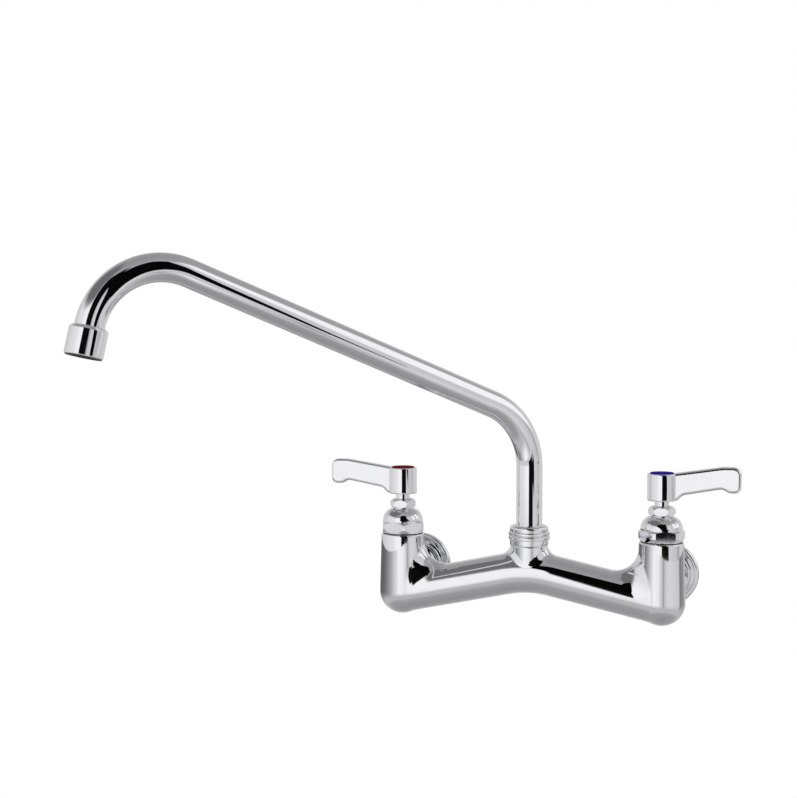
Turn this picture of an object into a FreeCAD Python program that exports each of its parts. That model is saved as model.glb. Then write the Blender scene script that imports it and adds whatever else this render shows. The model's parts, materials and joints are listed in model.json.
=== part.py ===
import FreeCAD, Part
import math
import os

# Wall-mounted tap with two lever valves and a swing spout, in millimetres.
# X runs right, Y runs into the wall and Z runs up. The wall face is y = 0, and the
# origin is midway between the two inlets, on the line of their axes.
# The two valves stand on upright axes in front of the wall, hot at -X and cold at +X.

# Layout
inlet_spacing = 203.2
wall_distance = 60.0
inlet_rise = 14.0
brazed_gap = 0.02
running_gap = 0.06
seating_gap = 0.10
loose_gap = 0.20
wide_gap = 0.30
cut_over = 1.0
edge_break = 0.4
soft_edge = 0.8

# Cast body: two columns, the arms between them and the outlet boss
column_height = 47.2
column_rim_radius = 17.0
column_rim_round = 0.6
column_foot_radius = 18.2
column_foot_rise = 1.5
arm_radius = 15.9
arm_rise = 21.7
arm_bend_radius = 87.0
arm_fillet = 18.0
arm_passage_radius = 8.5
chamber_radius = 12.2
chamber_web = 3.0
inlet_boss_radius = 15.9
inlet_boss_reach = 24.0
inlet_boss_fillet = 5.0
inlet_passage_radius = 7.0
shank_radius = 13.2
shank_reach = 36.0
outlet_radius = 14.25
outlet_height = 19.7
outlet_fillet = 9.5
outlet_bore_radius = 8.2
outlet_neck_radius = 12.5
outlet_neck_height = 9.3
outlet_socket_radius = 10.9
outlet_socket_depth = 24.0

# Flanged inlet, its washer and its coupling nut
pipe_thread_radius = 9.9
pipe_thread_length = 13.0
flange_radius = 25.6
flange_rim = 5.0
flange_rim_width = 3.2
flange_groove_depth = 1.4
flange_ring_radius = 18.8
flange_ring_rise = 8.5
flange_hub_radius = 15.4
flange_hub_rise = 12.5
inlet_neck_radius = 10.4
inlet_collar_radius = 12.6
inlet_collar_thickness = 4.0
inlet_washer_thickness = 1.6
flange_edge = 0.5
flange_slope = 0.6
flange_rim_round = 2.2
flange_groove_round = 0.6
flange_ring_round = 1.5
flange_hub_round = 1.3
coupling_flats = 31.8
coupling_lip = 3.0
coupling_stand_off = 1.5

# Valve seat, and the washer that closes on it
seat_thread_radius = 8.0
seat_flange_radius = 9.6
seat_flange_thickness = 1.5
seat_depth = 5.0
seat_bore_radius = 5.5
seat_lip_height = 1.0
seat_lip_width = 1.3
seat_lip_slope = 0.5
washer_radius = 7.4
washer_thickness = 3.2
washer_show = 1.0
holder_wall = 1.1
holder_plate = 2.0
holder_boss_radius = 5.4
holder_boss_height = 8.6
washer_screw_radius = 2.0
washer_screw_length = 4.6
washer_screw_head_radius = 3.7
washer_screw_head_height = 1.8
washer_screw_slot = 0.9

# Bonnet, packing and packing nut
bonnet_thread_radius = 13.0
bonnet_thread_length = 12.0
thread_runout = 1.0
bonnet_gasket_thickness = 0.7
bonnet_foot_radius = 15.8
bonnet_foot_height = 3.0
bonnet_corner_radius = 17.6
bonnet_flats = 31.8
bonnet_band_height = 7.5
bonnet_height = 19.6
bonnet_dome_start = 15.9
bonnet_dome_drop = 1.2
bonnet_dome_radius = 9.8
bonnet_cavity_radius = 9.4
bonnet_cavity_depth = 9.0
hot_bonnet_turn = 47.0
cold_bonnet_turn = 15.0
packing_radius = 8.0
packing_depth = 11.0
packing_height = 4.0
packing_step = 1.0
gland_ring_thickness = 1.2
packing_nut_flats = 18.0
packing_nut_height = 7.0
packing_nut_foot_radius = 8.6
packing_nut_foot_height = 1.7
packing_nut_crown = 2.2
packing_nut_round = 1.4
packing_nut_mouth = 1.2

# Stem and handle
stem_radius = 5.5
stem_thread_radius = 6.8
stem_thread_length = 14.0
stem_thread_drop = 4.0
stem_spigot_radius = 3.5
stem_spigot_length = 4.6
stem_collar_radius = 8.4
stem_collar_height = 4.5
stem_show = 4.3
stem_square = 7.8
stem_square_length = 11.5
handle_hub_radius = 11.1
handle_hub_height = 20.6
handle_web = 2.4
lever_reach = 58.8
lever_lift = 5.9
lever_tip_depth = 19.7
lever_toe_length = 9.7
lever_toe_drop = 2.9
lever_root_drop = 15.9
lever_root_thickness = 10.0
lever_tip_thickness = 8.0
lever_edge_radius = 2.0
lever_inset = 8.0
lever_step = 0.6
lever_foot_rise = 0.5
lever_crest_run = 3.8
lever_crest_round = 25.0
lever_tip_round = 6.0
lever_toe_slope = 0.3
lever_toe_round = 5.0
lever_heel_round = 5.5
lever_throat_run = 4.0
lever_throat_round = 7.0
lever_root_run = 4.9
lever_root_round = 6.0
hot_lever_turn = 0.0
cold_lever_turn = 0.0
handle_screw_radius = 2.0
handle_screw_length = 9.0
handle_screw_head_radius = 4.2
handle_screw_head_height = 2.8
handle_screw_head_round = 1.2
handle_screw_slot = 1.2
screw_slot_width = 1.0
button_radius = 9.0
button_thickness = 3.5
button_rise = 0.9

# Spout, its swivel and its nut
tube_radius = 10.15
tube_wall = 1.2
tube_upright = 45.7
tube_lower_bend = 52.9
tube_incline = 21.3
tube_run = 259.3
tube_upper_bend = 51.2
tube_tip_tilt = 12.5
spout_swing = 48.0
sleeve_radius = 10.84
sleeve_bore_radius = 8.2
sleeve_length = 22.0
sleeve_collar_radius = 12.2
sleeve_collar_height = 3.4
o_ring_section = 1.8
o_ring_rise = 5.0
o_ring_spacing = 6.5
o_ring_groove_slack = 0.15
slip_ring_thickness = 0.8
spout_nut_radius = 14.9
spout_nut_height = 15.3
spout_nut_band = 4.5
spout_nut_ridges = 2
spout_nut_ridge_rise = 1.1
spout_nut_ridge_width = 2.9
spout_nut_groove = 0.3
spout_nut_round = 2.4
ferrule_radius = 13.1
ferrule_length = 20.2
ferrule_socket = 6.0
ferrule_shoulder = 2.0
ferrule_step = 0.8
ferrule_mouth_radius = 11.6
ferrule_mouth_depth = 9.0
straightener_lip = 0.8
straightener_rim_radius = 12.3
straightener_recess = 1.0
straightener_wall = 1.4
straightener_vane = 0.9
straightener_vanes = 3
screen_thickness = 0.8
screen_hole_radius = 0.8
screen_hole_pitch = 2.5
screen_rings = 3
mouth_washer_thickness = 1.4

# Heights and distances that follow from the sizes above
half_spacing = inlet_spacing / 2.0
arm_axis_z = -inlet_rise
rim_z = arm_axis_z + column_height
boss_axis_z = arm_axis_z + arm_rise
arm_slope = math.atan2(arm_rise, half_spacing)
arm_crown_z = boss_axis_z - arm_bend_radius * (1.0 / math.cos(arm_slope) - 1.0)
outlet_top_z = boss_axis_z + outlet_height
neck_top_z = outlet_top_z + outlet_neck_height
chamber_floor_z = arm_axis_z + arm_passage_radius + chamber_web
seat_top_z = chamber_floor_z + seat_flange_thickness + seat_lip_height
washer_z = seat_top_z + seating_gap
holder_plate_z = washer_z + washer_thickness
holder_top_z = holder_plate_z + holder_plate + holder_boss_height
stem_shoulder_z = holder_top_z + seating_gap
bonnet_z = rim_z + bonnet_gasket_thickness
bonnet_foot_z = bonnet_z - bonnet_thread_length
bonnet_top_z = bonnet_z + bonnet_height
packing_z = bonnet_top_z - packing_depth
gland_ring_z = packing_z + packing_height + seating_gap
packing_nut_z = bonnet_top_z + seating_gap
packing_nut_top_z = packing_nut_z + packing_nut_height
hub_z = packing_nut_top_z + stem_show
hub_top_z = hub_z + handle_hub_height
stem_top_z = hub_z + stem_square_length
handle_web_z = stem_top_z + seating_gap
handle_screw_z = handle_web_z + handle_web
button_z = hub_top_z + button_rise - button_thickness
collar_z = neck_top_z + slip_ring_thickness + seating_gap
collar_top_z = collar_z + sleeve_collar_height
spout_nut_top_z = outlet_top_z + spout_nut_height
inlet_face = wall_distance - shank_reach - inlet_washer_thickness - 2.0 * seating_gap
coupling_corner = coupling_flats / 2.0 / math.cos(math.pi / 6.0)
packing_nut_corner = packing_nut_flats / 2.0 / math.cos(math.pi / 6.0)
mouth_floor_z = ferrule_mouth_depth - ferrule_length
screen_top_z = mouth_floor_z - mouth_washer_thickness - seating_gap
straightener_top_z = screen_top_z - screen_thickness - seating_gap
mouth_fit_radius = ferrule_mouth_radius - seating_gap

SIDES = {"hot": -1, "cold": 1}
BONNET_TURNS = {"hot": hot_bonnet_turn, "cold": cold_bonnet_turn}
LEVER_TURNS = {"hot": 180.0 - hot_lever_turn, "cold": -cold_lever_turn}


def at(x, y, z):
    return FreeCAD.Vector(x, y, z)


def moved(shape, x=0.0, y=0.0, z=0.0):
    copy = shape.copy()
    copy.translate(at(x, y, z))
    return copy


def spun(shape, degrees):
    copy = shape.copy()
    copy.rotate(at(0, 0, 0), at(0, 0, 1), degrees)
    return copy


def rounded_wire(corners, place):
    """Closed wire through corners (a, b) or (a, b, radius), where a radius rounds that corner."""
    ends = []
    for index, corner in enumerate(corners):
        here = place(corner[0], corner[1])
        if len(corner) == 2:
            ends.append((here, here, None))
            continue
        before = corners[index - 1]
        after = corners[(index + 1) % len(corners)]
        back = (place(before[0], before[1]) - here).normalize()
        ahead = (place(after[0], after[1]) - here).normalize()
        half = back.getAngle(ahead) / 2.0
        inset = corner[2] / math.tan(half)
        inward = (back + ahead).normalize()
        middle = here + inward * (corner[2] / math.sin(half) - corner[2])
        ends.append((here + back * inset, here + ahead * inset, middle))
    edges = []
    for index, (begin, end, middle) in enumerate(ends):
        if middle is not None:
            edges.append(Part.Arc(begin, middle, end).toShape())
        following = ends[(index + 1) % len(ends)][0]
        if end.distanceToPoint(following) > 1e-6:
            edges.append(Part.makeLine(end, following))
    return Part.Wire(edges)


def turned(corners):
    """Solid of revolution about Z from a closed outline of (radius, height) corners."""
    wire = rounded_wire(corners, lambda radius, height: at(radius, 0, height))
    return Part.Face(wire).revolve(at(0, 0, 0), at(0, 0, 1), 360)


def rod(radius, low, high):
    return Part.makeCylinder(radius, high - low, at(0, 0, low))


def ring(outer, inner, low, high):
    return turned([(inner, low), (outer, low), (outer, high), (inner, high)])


def prism(flats, low, high, sides=6, turn=0.0):
    """Regular prism about Z, given across its flats."""
    radius = flats / 2.0 / math.cos(math.pi / sides)
    points = []
    for index in range(sides + 1):
        angle = math.radians(turn + 360.0 * index / sides)
        points.append(at(radius * math.cos(angle), radius * math.sin(angle), low))
    return Part.Face(Part.makePolygon(points)).extrude(at(0, 0, high - low))


def on_valve(shape, sign):
    """Carries a shape built on Z to a valve's axis."""
    return moved(shape, sign * half_spacing, -wall_distance)


def on_outlet(shape):
    """Carries a shape built on Z to the outlet's axis."""
    return moved(shape, 0, -wall_distance)


def on_inlet(shape, sign):
    """Turns a shape built on Z to stand out of the wall, its height becoming distance from the wall."""
    copy = shape.copy()
    copy.rotate(at(0, 0, 0), at(1, 0, 0), 90)
    return moved(copy, sign * half_spacing)


def lies_on(point, shape):
    return Part.Vertex(point).distToShape(shape.Shells[0])[0] < 1e-3


def blended(whole, added, radius):
    """Joins two solids and rounds the corner along the line where their surfaces meet."""
    joined = whole.fuse(added)
    seam = []
    for edge in joined.Edges:
        if edge.Degenerated:
            continue
        middle = edge.valueAt((edge.FirstParameter + edge.LastParameter) / 2.0)
        if lies_on(middle, whole) and lies_on(middle, added):
            seam.append(edge)
    return joined.makeFillet(radius, seam)


def swept(path, radius):
    """Round bar of one radius along a smooth path."""
    first = path.OrderedEdges[0]
    start = first.valueAt(first.FirstParameter)
    heading = first.tangentAt(first.FirstParameter)
    section = Part.Wire(Part.makeCircle(radius, start, heading))
    return path.makePipeShell([section], True, False)


# The cast body

def arm_path():
    """Centre line of the arms: two straight runs joined by a wide bend below the outlet."""
    inset = arm_bend_radius * math.tan(arm_slope)
    bend_x = inset * math.cos(arm_slope)
    bend_z = boss_axis_z - inset * math.sin(arm_slope)
    left = at(-half_spacing, -wall_distance, arm_axis_z)
    begin = at(-bend_x, -wall_distance, bend_z)
    crown = at(0, -wall_distance, arm_crown_z)
    end = at(bend_x, -wall_distance, bend_z)
    right = at(half_spacing, -wall_distance, arm_axis_z)
    bend = Part.Arc(begin, crown, end).toShape()
    return Part.Wire([Part.makeLine(left, begin), bend, Part.makeLine(end, right)])


def column_blank():
    foot_z = arm_axis_z + column_foot_rise
    upper = turned([
        (0, foot_z), (column_foot_radius, foot_z),
        (column_rim_radius, rim_z, column_rim_round), (0, rim_z),
    ])
    foot = Part.makeSphere(column_foot_radius, at(0, 0, foot_z), at(0, 0, 1), -90, 0, 360)
    return upper.fuse(foot)


def casting_blank():
    arms = swept(arm_path(), arm_radius)
    outlet = on_outlet(rod(outlet_radius, arm_crown_z, outlet_top_z))
    blank = blended(arms, outlet, outlet_fillet)
    blank = blank.fuse(on_outlet(rod(outlet_neck_radius, outlet_top_z - cut_over, neck_top_z)))
    for sign in SIDES.values():
        blank = blended(blank, on_valve(column_blank(), sign), arm_fillet)
        boss = rod(inlet_boss_radius, wall_distance - inlet_boss_reach, wall_distance)
        blank = blended(blank, on_inlet(boss, sign), inlet_boss_fillet)
        shank = rod(shank_radius, wall_distance - shank_reach, wall_distance)
        blank = blank.fuse(on_inlet(shank, sign))
    return blank


def casting_cores():
    """Everything that is hollow in the casting: waterways, valve chambers and threaded bores."""
    socket_z = neck_top_z - outlet_socket_depth
    cores = [
        swept(arm_path(), arm_passage_radius),
        on_outlet(rod(outlet_bore_radius, arm_crown_z, socket_z + cut_over)),
        on_outlet(rod(outlet_socket_radius, socket_z, neck_top_z + cut_over)),
    ]
    chamber_top = bonnet_foot_z - thread_runout
    chamber_mouth = math.sqrt(chamber_radius ** 2 - inlet_passage_radius ** 2)
    for sign in SIDES.values():
        turn_room = Part.makeSphere(arm_passage_radius, at(0, 0, arm_axis_z))
        cores.append(on_valve(turn_room, sign))
        cores.append(on_valve(rod(seat_thread_radius + running_gap, arm_axis_z, chamber_floor_z), sign))
        cores.append(on_valve(rod(chamber_radius, chamber_floor_z, chamber_top), sign))
        cores.append(on_valve(rod(bonnet_thread_radius + running_gap, chamber_top, rim_z + cut_over), sign))
        passage_start = wall_distance - shank_reach - cut_over
        passage = rod(inlet_passage_radius, passage_start, wall_distance - chamber_mouth)
        cores.append(on_inlet(passage, sign))
    return cores


def body_casting():
    return casting_blank().cut(casting_cores()).removeSplitter()


# Inlet pieces, built on Z with height as the distance from the wall

def inlet():
    rim_inner = flange_radius - flange_rim_width
    groove_z = flange_rim - flange_groove_depth
    collar_z = inlet_face - inlet_collar_thickness
    return turned([
        (pipe_thread_radius, 0), (flange_radius, 0, flange_edge),
        (flange_radius, flange_rim, flange_rim_round), (rim_inner, flange_rim, flange_groove_round),
        (rim_inner - flange_slope, groove_z), (flange_ring_radius + flange_slope, groove_z),
        (flange_ring_radius, flange_ring_rise, flange_ring_round),
        (flange_hub_radius + flange_slope, flange_ring_rise),
        (flange_hub_radius, flange_hub_rise, flange_hub_round), (inlet_neck_radius, flange_hub_rise),
        (inlet_neck_radius, collar_z), (inlet_collar_radius, collar_z),
        (inlet_collar_radius, inlet_face), (inlet_passage_radius, inlet_face),
        (inlet_passage_radius, pipe_thread_length), (pipe_thread_radius, pipe_thread_length),
    ])


def inlet_washer():
    low = inlet_face + seating_gap
    return ring(inlet_collar_radius, inlet_passage_radius + edge_break, low, low + inlet_washer_thickness)


def coupling_nut():
    lip_top = inlet_face - inlet_collar_thickness - seating_gap
    low = lip_top - coupling_lip
    high = wall_distance - inlet_boss_reach - coupling_stand_off
    lip_bore = inlet_neck_radius + wide_gap
    thread = shank_radius + running_gap
    chamfer = coupling_corner - coupling_flats / 2.0
    outline = turned([
        (lip_bore, low), (coupling_corner - chamfer, low), (coupling_corner, low + chamfer),
        (coupling_corner, high - chamfer), (coupling_corner - chamfer, high),
        (thread, high), (thread, lip_top), (lip_bore, lip_top),
    ])
    return outline.common(prism(coupling_flats, low, high))


# Valve pieces that stay still, built on the valve's axis

def valve_seat():
    foot = chamber_floor_z - seat_depth
    flange_top = chamber_floor_z + seat_flange_thickness
    lip_radius = seat_bore_radius + seat_lip_width
    return turned([
        (seat_bore_radius, foot), (seat_thread_radius, foot, edge_break),
        (seat_thread_radius, chamber_floor_z), (seat_flange_radius, chamber_floor_z),
        (seat_flange_radius, flange_top), (lip_radius + seat_lip_slope, flange_top),
        (lip_radius, seat_top_z, edge_break), (seat_bore_radius, seat_top_z, edge_break),
    ])


def bonnet_gasket():
    return ring(bonnet_foot_radius, bonnet_thread_radius + wide_gap, rim_z, bonnet_z)


def bonnet(turn):
    foot_top = bonnet_z + bonnet_foot_height
    band_top = bonnet_z + bonnet_band_height
    blank = turned([
        (0, bonnet_foot_z), (bonnet_thread_radius, bonnet_foot_z, edge_break),
        (bonnet_thread_radius, bonnet_z),
        (bonnet_foot_radius, bonnet_z), (bonnet_corner_radius, foot_top), (bonnet_corner_radius, band_top),
        (bonnet_dome_start, band_top + bonnet_dome_drop),
        (bonnet_dome_start, bonnet_top_z, bonnet_dome_radius), (0, bonnet_top_z),
    ])
    bores = [
        rod(bonnet_cavity_radius, bonnet_foot_z - cut_over, bonnet_foot_z + bonnet_cavity_depth),
        rod(stem_thread_radius + running_gap, bonnet_foot_z, packing_z - packing_step),
        rod(stem_radius + running_gap, bonnet_foot_z, bonnet_top_z),
        rod(packing_radius + running_gap, packing_z, bonnet_top_z + cut_over),
    ]
    return blank.common(prism(bonnet_flats, bonnet_foot_z, bonnet_top_z, 6, turn)).cut(bores)


def packing_ring():
    return ring(packing_radius, stem_radius + running_gap, packing_z, packing_z + packing_height)


def gland_ring():
    return ring(packing_radius, stem_radius + loose_gap, gland_ring_z, gland_ring_z + gland_ring_thickness)


def packing_nut():
    foot = gland_ring_z + gland_ring_thickness + seating_gap
    bore = stem_radius + loose_gap
    corner_low = packing_nut_z + packing_nut_foot_height
    corner_high = packing_nut_top_z - packing_nut_crown
    blank = turned([
        (bore, foot), (packing_radius, foot), (packing_radius, packing_nut_z),
        (packing_nut_foot_radius, packing_nut_z),
        (packing_nut_corner, corner_low), (packing_nut_corner, corner_high, packing_nut_round),
        (packing_nut_corner - packing_nut_crown, packing_nut_top_z, packing_nut_round),
        (bore + packing_nut_mouth, packing_nut_top_z), (bore, packing_nut_top_z - packing_nut_mouth),
    ])
    return blank.common(prism(packing_nut_flats, foot, packing_nut_top_z))


# Valve pieces that rise with the stem, and those that also turn with it

def screw_slot(head_radius, low, high):
    reach = head_radius + cut_over
    return Part.makeBox(2.0 * reach, screw_slot_width, high - low, at(-reach, -screw_slot_width / 2.0, low))


def washer_holder():
    pocket = washer_radius + seating_gap
    skirt = pocket + holder_wall
    skirt_z = washer_z + washer_show
    plate_top = holder_plate_z + holder_plate
    blank = turned([
        (0, holder_plate_z), (pocket, holder_plate_z), (pocket, skirt_z), (skirt, skirt_z),
        (skirt, plate_top, edge_break), (holder_boss_radius, plate_top),
        (holder_boss_radius, holder_top_z, edge_break), (0, holder_top_z),
    ])
    socket_z = holder_top_z - stem_spigot_length - wide_gap
    screw_end = holder_plate_z + washer_screw_length + seating_gap
    return blank.cut([
        rod(stem_spigot_radius + running_gap, socket_z, holder_top_z + cut_over),
        rod(washer_screw_radius + running_gap, holder_plate_z - cut_over, screw_end),
    ])


def seat_washer():
    return ring(washer_radius, washer_screw_radius + running_gap, washer_z, washer_z + washer_thickness)


def washer_screw():
    head_z = washer_z - washer_screw_head_height
    tip_z = holder_plate_z + washer_screw_length
    blank = turned([
        (0, head_z), (washer_screw_head_radius, head_z, edge_break), (washer_screw_head_radius, washer_z),
        (washer_screw_radius, washer_z), (washer_screw_radius, tip_z, edge_break), (0, tip_z),
    ])
    return blank.cut(screw_slot(washer_screw_head_radius, head_z - cut_over, head_z + washer_screw_slot))


def stem():
    thread_top = packing_z - stem_thread_drop
    spigot_z = stem_shoulder_z - stem_spigot_length
    collar_top = stem_shoulder_z + stem_collar_height
    thread_low = thread_top - stem_thread_length
    blank = turned([
        (0, spigot_z), (stem_spigot_radius, spigot_z, edge_break), (stem_spigot_radius, stem_shoulder_z),
        (stem_collar_radius, stem_shoulder_z, edge_break), (stem_collar_radius, collar_top, edge_break),
        (stem_radius, collar_top), (stem_radius, thread_low), (stem_thread_radius, thread_low),
        (stem_thread_radius, thread_top), (stem_radius, thread_top),
        (stem_radius, hub_z), (0, hub_z),
    ])
    square = prism(stem_square, hub_z - cut_over, stem_top_z, 4, 45.0)
    square = square.common(rod(stem_radius, hub_z - cut_over, stem_top_z))
    hole_z = handle_screw_z - handle_screw_length - thread_runout
    screw_hole = rod(handle_screw_radius + running_gap, hole_z, stem_top_z + cut_over)
    return blank.fuse(square).cut(screw_hole)


def lever_blade():
    """Flat-sided blade that rises from the hub and ends in a small downward toe."""
    top = hub_top_z + lever_lift
    toe = top - lever_tip_depth
    heel = lever_reach - lever_toe_length
    arch = toe + lever_toe_drop
    root_z = hub_top_z - lever_root_drop
    inside = handle_hub_radius - lever_inset
    foot_z = hub_z + lever_foot_rise
    side = rounded_wire([
        (inside, hub_top_z - lever_step), (heel - lever_crest_run, top, lever_crest_round),
        (lever_reach, top, lever_tip_round), (lever_reach - lever_toe_slope, toe, lever_toe_round),
        (heel, toe + lever_toe_slope, lever_heel_round),
        (heel - lever_throat_run, arch + lever_toe_slope, lever_throat_round),
        (handle_hub_radius + lever_root_run, root_z, lever_root_round),
        (handle_hub_radius + lever_foot_rise, foot_z), (inside, foot_z),
    ], lambda along, height: at(along, 0, height))
    root = lever_root_thickness / 2.0
    end = lever_tip_thickness / 2.0
    beyond = lever_reach + cut_over
    plan = Part.makePolygon([
        at(inside, -root, hub_z), at(beyond, -end, hub_z), at(beyond, end, hub_z),
        at(inside, root, hub_z), at(inside, -root, hub_z),
    ])
    slab = moved(Part.Face(side).extrude(at(0, 2.0 * lever_root_thickness, 0)), 0, -lever_root_thickness)
    blade = slab.common(Part.Face(plan).extrude(at(0, 0, top - hub_z + cut_over)))
    rims = []
    for edge in blade.Edges:
        middle = edge.valueAt((edge.FirstParameter + edge.LastParameter) / 2.0)
        flat_side = abs(middle.y) > end - seating_gap
        if flat_side and middle.x > inside + cut_over:
            rims.append(edge)
    return blade.makeFillet(lever_edge_radius, rims)


def lever_handle(turn):
    hub = turned([
        (0, hub_z), (handle_hub_radius, hub_z, edge_break),
        (handle_hub_radius, hub_top_z, soft_edge), (0, hub_top_z),
    ])
    blank = hub.fuse(lever_blade())
    bores = [
        prism(stem_square + 2.0 * running_gap, hub_z - cut_over, handle_web_z, 4, 45.0),
        rod(handle_screw_radius + seating_gap, handle_web_z - cut_over, handle_screw_z + cut_over),
        rod(handle_screw_head_radius + wide_gap, handle_screw_z, button_z),
        rod(button_radius + running_gap, button_z, hub_top_z + cut_over),
    ]
    return spun(blank.cut(bores), turn)


def handle_screw():
    tip_z = handle_screw_z - handle_screw_length
    head_top = handle_screw_z + handle_screw_head_height
    blank = turned([
        (0, tip_z), (handle_screw_radius, tip_z, edge_break), (handle_screw_radius, handle_screw_z),
        (handle_screw_head_radius, handle_screw_z),
        (handle_screw_head_radius, head_top, handle_screw_head_round), (0, head_top),
    ])
    return blank.cut(screw_slot(handle_screw_head_radius, head_top - handle_screw_slot, head_top + cut_over))


def index_button():
    top = button_z + button_thickness
    return turned([(0, button_z), (button_radius, button_z), (button_radius, top, soft_edge), (0, top)])


# Spout pieces, built on the outlet's axis with the tip pointing along +X

def on_circle(centre, radius, degrees):
    angle = math.radians(degrees)
    return centre + at(radius * math.cos(angle), 0, radius * math.sin(angle))


def tube_stations():
    """Points where the tube's centre line changes from straight to bent, and the bends' middles."""
    incline = math.radians(tube_incline)
    upright_end = at(0, 0, spout_nut_top_z + tube_upright)
    lower_centre = upright_end + at(tube_lower_bend, 0, 0)
    lower_end_angle = 90.0 + tube_incline
    lower_middle = on_circle(lower_centre, tube_lower_bend, (180.0 + lower_end_angle) / 2.0)
    run_start = on_circle(lower_centre, tube_lower_bend, lower_end_angle)
    run_end = run_start + at(math.cos(incline), 0, math.sin(incline)) * tube_run
    upper_centre = run_end + at(math.sin(incline), 0, -math.cos(incline)) * tube_upper_bend
    upper_middle = on_circle(upper_centre, tube_upper_bend, (lower_end_angle + tube_tip_tilt) / 2.0)
    tip = on_circle(upper_centre, tube_upper_bend, tube_tip_tilt)
    return upright_end, lower_middle, run_start, run_end, upper_middle, tip


def tube_path():
    """Centre line of the tube in the X-Z plane, from the swivel up, out and over to the tip."""
    upright_end, lower_middle, run_start, run_end, upper_middle, tip = tube_stations()
    tilt = math.radians(tube_tip_tilt)
    end = tip + at(math.sin(tilt), 0, -math.cos(tilt)) * ferrule_socket
    return Part.Wire([
        Part.makeLine(at(0, 0, collar_z), upright_end),
        Part.Arc(upright_end, lower_middle, run_start).toShape(),
        Part.makeLine(run_start, run_end),
        Part.Arc(run_end, upper_middle, tip).toShape(),
        Part.makeLine(tip, end),
    ])


def on_spout(shape):
    return on_outlet(spun(shape, -90.0 - spout_swing))


def on_tip(shape):
    """Carries a shape built downwards from the ferrule's top edge to the tube's tip."""
    copy = shape.copy()
    copy.rotate(at(0, 0, 0), at(0, 1, 0), -tube_tip_tilt)
    copy.translate(tube_stations()[-1])
    return on_spout(copy)


def spout_tube():
    path = tube_path()
    return on_spout(swept(path, tube_radius).cut(swept(path, tube_radius - tube_wall)))


def o_ring_heights():
    lowest = collar_z - sleeve_length + o_ring_rise
    return [lowest, lowest + o_ring_spacing]


def spout_sleeve():
    foot = collar_z - sleeve_length
    blank = turned([
        (sleeve_bore_radius, foot), (sleeve_radius, foot, edge_break), (sleeve_radius, collar_z),
        (sleeve_collar_radius, collar_z), (sleeve_collar_radius, collar_top_z, edge_break),
        (tube_radius + brazed_gap, collar_top_z), (tube_radius + brazed_gap, collar_z),
        (sleeve_bore_radius, collar_z),
    ])
    groove_floor = outlet_socket_radius - o_ring_section - seating_gap
    grooves = []
    for height in o_ring_heights():
        half = o_ring_section / 2.0 + o_ring_groove_slack
        grooves.append(ring(sleeve_radius + cut_over, groove_floor, height - half, height + half))
    return on_spout(blank.cut(grooves))


def o_rings():
    centre = outlet_socket_radius - brazed_gap - o_ring_section / 2.0
    rings = []
    for height in o_ring_heights():
        rings.append(Part.makeTorus(centre, o_ring_section / 2.0, at(0, 0, height)))
    return on_spout(Part.makeCompound(rings))


def slip_ring():
    outer = outlet_neck_radius - loose_gap
    inner = outlet_socket_radius + seating_gap
    return on_outlet(ring(outer, inner, neck_top_z, neck_top_z + slip_ring_thickness))


def spout_nut():
    foot = outlet_top_z + seating_gap
    thread = outlet_neck_radius + running_gap
    crest = spout_nut_radius + spout_nut_ridge_rise
    mouth = tube_radius + wide_gap
    roof = collar_top_z + seating_gap
    corners = [(thread, foot), (spout_nut_radius, foot, edge_break)]
    low = outlet_top_z + spout_nut_band
    for _ in range(spout_nut_ridges):
        high = low + spout_nut_ridge_width
        corners += [(spout_nut_radius, low), (crest, low, soft_edge)]
        corners += [(crest, high, soft_edge), (spout_nut_radius, high)]
        low = high + spout_nut_groove
    corners += [(spout_nut_radius, spout_nut_top_z, spout_nut_round), (mouth, spout_nut_top_z, edge_break)]
    corners += [(mouth, roof), (thread, roof)]
    return on_outlet(turned(corners))


def ferrule():
    socket = tube_radius + brazed_gap
    socket_z = -ferrule_socket - seating_gap
    bore = tube_radius - tube_wall
    return on_tip(turned([
        (socket, 0), (tube_radius + ferrule_step, 0), (ferrule_radius, -ferrule_shoulder, soft_edge),
        (ferrule_radius, -ferrule_length, soft_edge), (ferrule_mouth_radius, -ferrule_length),
        (ferrule_mouth_radius, mouth_floor_z), (bore, mouth_floor_z),
        (bore, socket_z), (socket, socket_z),
    ]))


def mouth_washer():
    low = mouth_floor_z - mouth_washer_thickness
    return on_tip(ring(mouth_fit_radius, tube_radius - tube_wall, low, mouth_floor_z))


def flow_screen():
    low = screen_top_z - screen_thickness
    hole = rod(screen_hole_radius, low - cut_over, screen_top_z + cut_over)
    holes = [hole]
    for circle in range(1, screen_rings + 1):
        count = 6 * circle
        for index in range(count):
            holes.append(spun(moved(hole, circle * screen_hole_pitch), 360.0 * index / count))
    return on_tip(rod(mouth_fit_radius, low, screen_top_z).cut(holes))


def flow_straightener():
    low = -ferrule_length - straightener_lip
    rim_z = -ferrule_length - seating_gap
    inner = mouth_fit_radius - straightener_wall
    blank = turned([
        (inner, low), (straightener_rim_radius, low, edge_break), (straightener_rim_radius, rim_z),
        (mouth_fit_radius, rim_z), (mouth_fit_radius, straightener_top_z), (inner, straightener_top_z),
    ])
    vane_z = low + straightener_recess
    reach = inner + straightener_wall / 2.0
    corner = at(-reach, -straightener_vane / 2.0, vane_z)
    vane = Part.makeBox(2.0 * reach, straightener_vane, straightener_top_z - vane_z, corner)
    for index in range(straightener_vanes):
        blank = blank.fuse(spun(vane, 180.0 * index / straightener_vanes))
    return on_tip(blank)


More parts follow.
